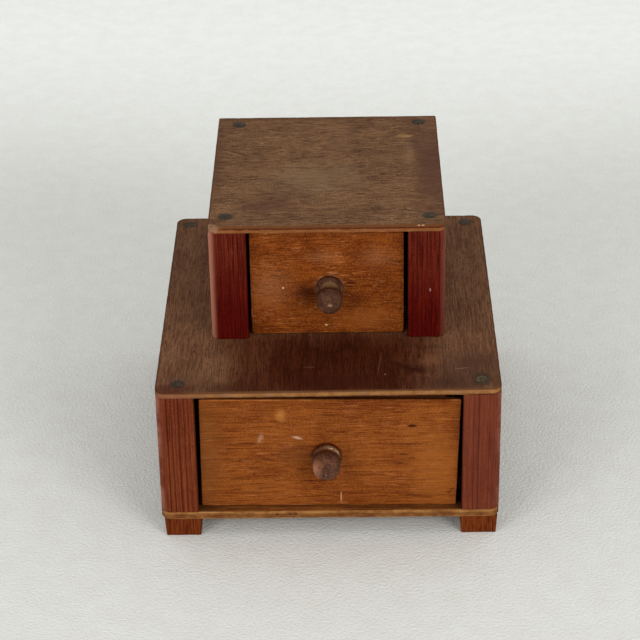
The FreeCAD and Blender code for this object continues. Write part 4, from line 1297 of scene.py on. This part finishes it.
class CABINET_OT_knobs(bpy.types.Operator):
    """Build the two turned knobs"""
    bl_idname = "thread_cabinet.knobs"
    bl_label = "Knobs"

    def execute(self, context):
        colours, steps = context.scene.cabinet_colours, 96
        for number, tier in enumerate(TIERS):
            node, shape = f"{tier}_drawer_knob", KNOBS[tier]
            low, high = box_of(node)
            face = box_of(f"{tier}_drawer_front")[0][1]
            centre = ((low[0] + high[0]) / 2, (low[2] + high[2]) / 2)
            distances, radii = knob_profile(shape, face - low[1])
            true = turned_rings(centre, radii, distances, steps, 0.0)
            outside = smooth(-0.1 * MM, 0.5 * MM, distances)[:, None]
            bruised = -shape["worn"] * outside * uneven(true, 0.012, 400 + number)
            rings = turned_rings(centre, radii, distances, steps, bruised)
            # Dirt lies in the hollows and chips in lines round the collar, as bell curves of the
            # distance from the face.
            dirt = sum(share * np.exp(-((distances / MM - place) / wide) ** 2)
                       for place, wide, share in shape["dirt"])
            rim = sum(np.exp(-((distances / MM - shape["rim"] + inward) / 0.2) ** 2)
                      for inward in (0.2, 1.7))
            rings[..., 2] -= face
            mesh = skin(facing_front(rings), dirt=np.clip(dirt, 0, 1), rim=rim)
            piece(f"{tier}_knob", mesh, knob_finish(tier, colours, centre, face).done(0.1 * MM),
                  f"{tier}_drawer", "knob_wood", node)
        return {"FINISHED"}


# ---- boards that keep their own shape ----

def dress(finish, *nodes):
    """Give CAD nodes a finish in their own material slots."""
    material = finish.done()
    for node in nodes:
        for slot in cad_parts[node].material_slots:
            slot.material = material


class CABINET_OT_case_boards(bpy.types.Operator):
    """Finish the side and back boards and the drawer guides"""
    bl_idname = "thread_cabinet.case_boards"
    bl_label = "Case Boards"

    def execute(self, context):
        colours = context.scene.cabinet_colours
        for grain, names in (("Y", ("side_panel_left", "side_panel_right")), ("X", ("back_panel",))):
            finish = Finish(f"case board stain {grain}", grain, rough=0.62)
            finish.wood("case board", colours.panel, shade(72, 28, 14), rub=(140, 84, 58))
            dress(finish, *(f"{tier}_{name}" for tier in TIERS for name in names))
        finish = Finish("guide wood", "Y", rough=0.7, gloss=0.1)
        finish.wood("guide", shade(84, 52, 30), shade(60, 34, 18))
        dress(finish, *(f"{tier}_drawer_guide_{side}" for tier in TIERS for side in SIDES))
        return {"FINISHED"}


class CABINET_OT_drawer_boxes(bpy.types.Operator):
    """Finish the bare boards of both drawer boxes"""
    bl_idname = "thread_cabinet.drawer_boxes"
    bl_label = "Drawer Boxes"

    def execute(self, context):
        colours = context.scene.cabinet_colours
        for grain, names in (("Y", ("side_left", "side_right")), ("X", ("back", "bottom"))):
            finish = Finish(f"drawer wood {grain}", grain, rough=0.7, gloss=0.12)
            finish.wood("drawer box", colours.bare, colours.bare_dark)
            dress(finish, *(f"{tier}_drawer_{name}" for tier in TIERS for name in names))
        return {"FINISHED"}


class CABINET_OT_fasteners(bpy.types.Operator):
    """Finish the screws and brads in dull steel"""
    bl_idname = "thread_cabinet.fasteners"
    bl_label = "Screws and Brads"

    def execute(self, context):
        finish = Finish("dull steel", "Z", rough=0.45, gloss=0.5)
        finish.shader.inputs["Metallic"].default_value = 1.0
        rust = clouds(finish.tree, finish.vector, 900.0, 4.0, 0.6, 0.52, 0.66)
        finish.colour = blend(finish.tree, rust, context.scene.cabinet_colours.steel, shade(92, 60, 40))
        dress(finish, "foot_screws", "upper_case_screws", *(f"{tier}_drawer_brads" for tier in TIERS))
        return {"FINISHED"}


# ---- stage ----

# Each lamp: its place on the right, what it points at, and its width and height.
LAMP_PLACE = (1.3, -1.8, 1.05)
LAMP_AIM = Vector((0, 0, 0.05))
LAMP_SIZE = (1.0, 0.6)
# The camera: its place in metres, its angles in degrees, and its lens and sensor in mm.
CAMERA = dict(place=(0.01235, -1.23312, 0.77129), heading=-0.83, tilt=-28.947, roll=-1.03,
              lens=126.43, sensor=36.0)


class CABINET_OT_stage(bpy.types.Operator):
    """Set the pale floor, the soft light and the camera"""
    bl_idname = "thread_cabinet.stage"
    bl_label = "Floor, Light and Camera"

    def execute(self, context):
        scene, stage = context.scene, context.scene.cabinet_stage
        scene.view_settings.view_transform = "Standard"
        self.floor(scene, stage)
        self.light(scene, stage)
        self.camera(scene)
        return {"FINISHED"}

    def floor(self, scene, stage):
        """A square of painted floor, paler farther back: painted light that stands in for a backdrop rising
        behind and catching more light.
        """
        reach, near, far = 5.0, 0.28, 0.74
        mesh = bpy.data.meshes.new("floor")
        corners = [(x, y, 0) for x, y in plan_corners((-reach, -reach), (reach, reach))]
        mesh.from_pydata(corners, [], [(0, 1, 2, 3)])
        finish = Finish("painted floor", "X", rough=0.9, gloss=0.0)
        tree = finish.tree
        tone = blend(tree, spread(tree, finish.along("Y"), near, far), stage.floor, stage.far_floor_painted_light)
        dirty = blend(tree, 1.0, tone, (0.955, 0.95, 0.94), "MULTIPLY")
        finish.colour = blend(tree, clouds(tree, finish.vector, 60.0, 5.0, 0.7, 0.3, 0.7), tone, dirty)
        finish.height = noise(tree, finish.vector, 520.0, 3.0, 0.6)
        mesh.materials.append(finish.done(0.8 * MM))
        item = bpy.data.objects.new("floor", mesh)
        scene.collection.objects.link(item)

    def light(self, scene, stage):
        """Even light from all round, a plain wall for what is seen, and a soft lamp on each side."""
        world = bpy.data.worlds.new("soft room")
        scene.world = world
        world.use_nodes = True
        tree = world.node_tree
        tree.nodes.clear()
        lit = add(tree, "ShaderNodeBackground", {"Color": (1.0, 1.0, 0.99, 1.0), "Strength": stage.sky})
        seen = add(tree, "ShaderNodeBackground", {"Color": (*shade(232, 234, 231), 1.0), "Strength": 1.0})
        rays = add(tree, "ShaderNodeLightPath").outputs
        mirrored = calc(tree, "MAXIMUM", rays["Is Glossy Ray"], rays["Is Transmission Ray"])
        both = add(tree, "ShaderNodeMixShader", {0: calc(tree, "MAXIMUM", rays["Is Camera Ray"], mirrored),
                                                 1: lit.outputs[0], 2: seen.outputs[0]})
        target = add(tree, "ShaderNodeOutputWorld")
        tree.links.new(both.outputs[0], target.inputs[0])
        for side, power in ((-1, stage.left_power), (1, stage.right_power)):
            lamp = bpy.data.lights.new("soft lamp", "AREA")
            lamp.energy = power
            lamp.shape = "RECTANGLE"
            lamp.size, lamp.size_y = LAMP_SIZE
            item = bpy.data.objects.new("soft lamp", lamp)
            item.location = (LAMP_PLACE[0] * side, *LAMP_PLACE[1:])
            item.rotation_mode = "QUATERNION"
            item.rotation_quaternion = (LAMP_AIM - item.location).to_track_quat("-Z", "Y")
            scene.collection.objects.link(item)

    def camera(self, scene):
        """The camera's axes come from a heading, a tilt and a roll, each turned about its own axis."""
        heading, tilt, roll = (math.radians(CAMERA[name]) for name in ("heading", "tilt", "roll"))
        ahead = Vector((math.sin(heading) * math.cos(tilt), math.cos(heading) * math.cos(tilt),
                        math.sin(tilt)))
        level = Vector((math.cos(heading), -math.sin(heading), 0))
        upright = level.cross(ahead)
        right = level * math.cos(roll) + upright * math.sin(roll)
        up = upright * math.cos(roll) - level * math.sin(roll)
        lens = bpy.data.cameras.new("camera")
        lens.lens, lens.sensor_width = CAMERA["lens"], CAMERA["sensor"]
        lens.clip_start, lens.clip_end = 0.05, 20.0
        item = bpy.data.objects.new("camera", lens)
        turn = Matrix((right, up, -ahead)).transposed().to_4x4()
        item.matrix_world = Matrix.Translation(CAMERA["place"]) @ turn
        scene.collection.objects.link(item)
        scene.camera = item


# ---- panel and registration ----

OPERATORS = (CABINET_OT_panels, CABINET_OT_posts, CABINET_OT_feet, CABINET_OT_dowels, CABINET_OT_fronts,
             CABINET_OT_knobs, CABINET_OT_case_boards, CABINET_OT_drawer_boxes, CABINET_OT_fasteners,
             CABINET_OT_stage)
GROUPS = {"cabinet_sizes": CabinetSizes, "cabinet_colours": CabinetColours, "cabinet_stage": CabinetStage}


class CABINET_PT_finish(bpy.types.Panel):
    """The cabinet's sizes, colours and building steps"""
    bl_idname = "CABINET_PT_finish"
    bl_label = "Thread Cabinet"
    bl_space_type = "VIEW_3D"
    bl_region_type = "UI"
    bl_category = "Thread Cabinet"

    def draw(self, context):
        for name in GROUPS:
            box = self.layout.box()
            for field in GROUPS[name].__annotations__:
                box.prop(getattr(context.scene, name), field)
        for operator in OPERATORS:
            self.layout.operator(operator.bl_idname)


def register():
    for item in (*GROUPS.values(), *OPERATORS, CABINET_PT_finish):
        bpy.utils.register_class(item)
    for name, group in GROUPS.items():
        setattr(bpy.types.Scene, name, PointerProperty(type=group))


def unregister():
    for name in GROUPS:
        delattr(bpy.types.Scene, name)
    for item in reversed((*GROUPS.values(), *OPERATORS, CABINET_PT_finish)):
        bpy.utils.unregister_class(item)


def main():
    """Build the cabinet step by step."""
    register()
    make_groups()
    for operator in OPERATORS:
        step = getattr(bpy.ops.thread_cabinet, operator.bl_idname.split(".")[1])
        if step() != {"FINISHED"}:
            raise RuntimeError(f"{operator.bl_label} did not finish")


if __name__ == "__main__":
    main()
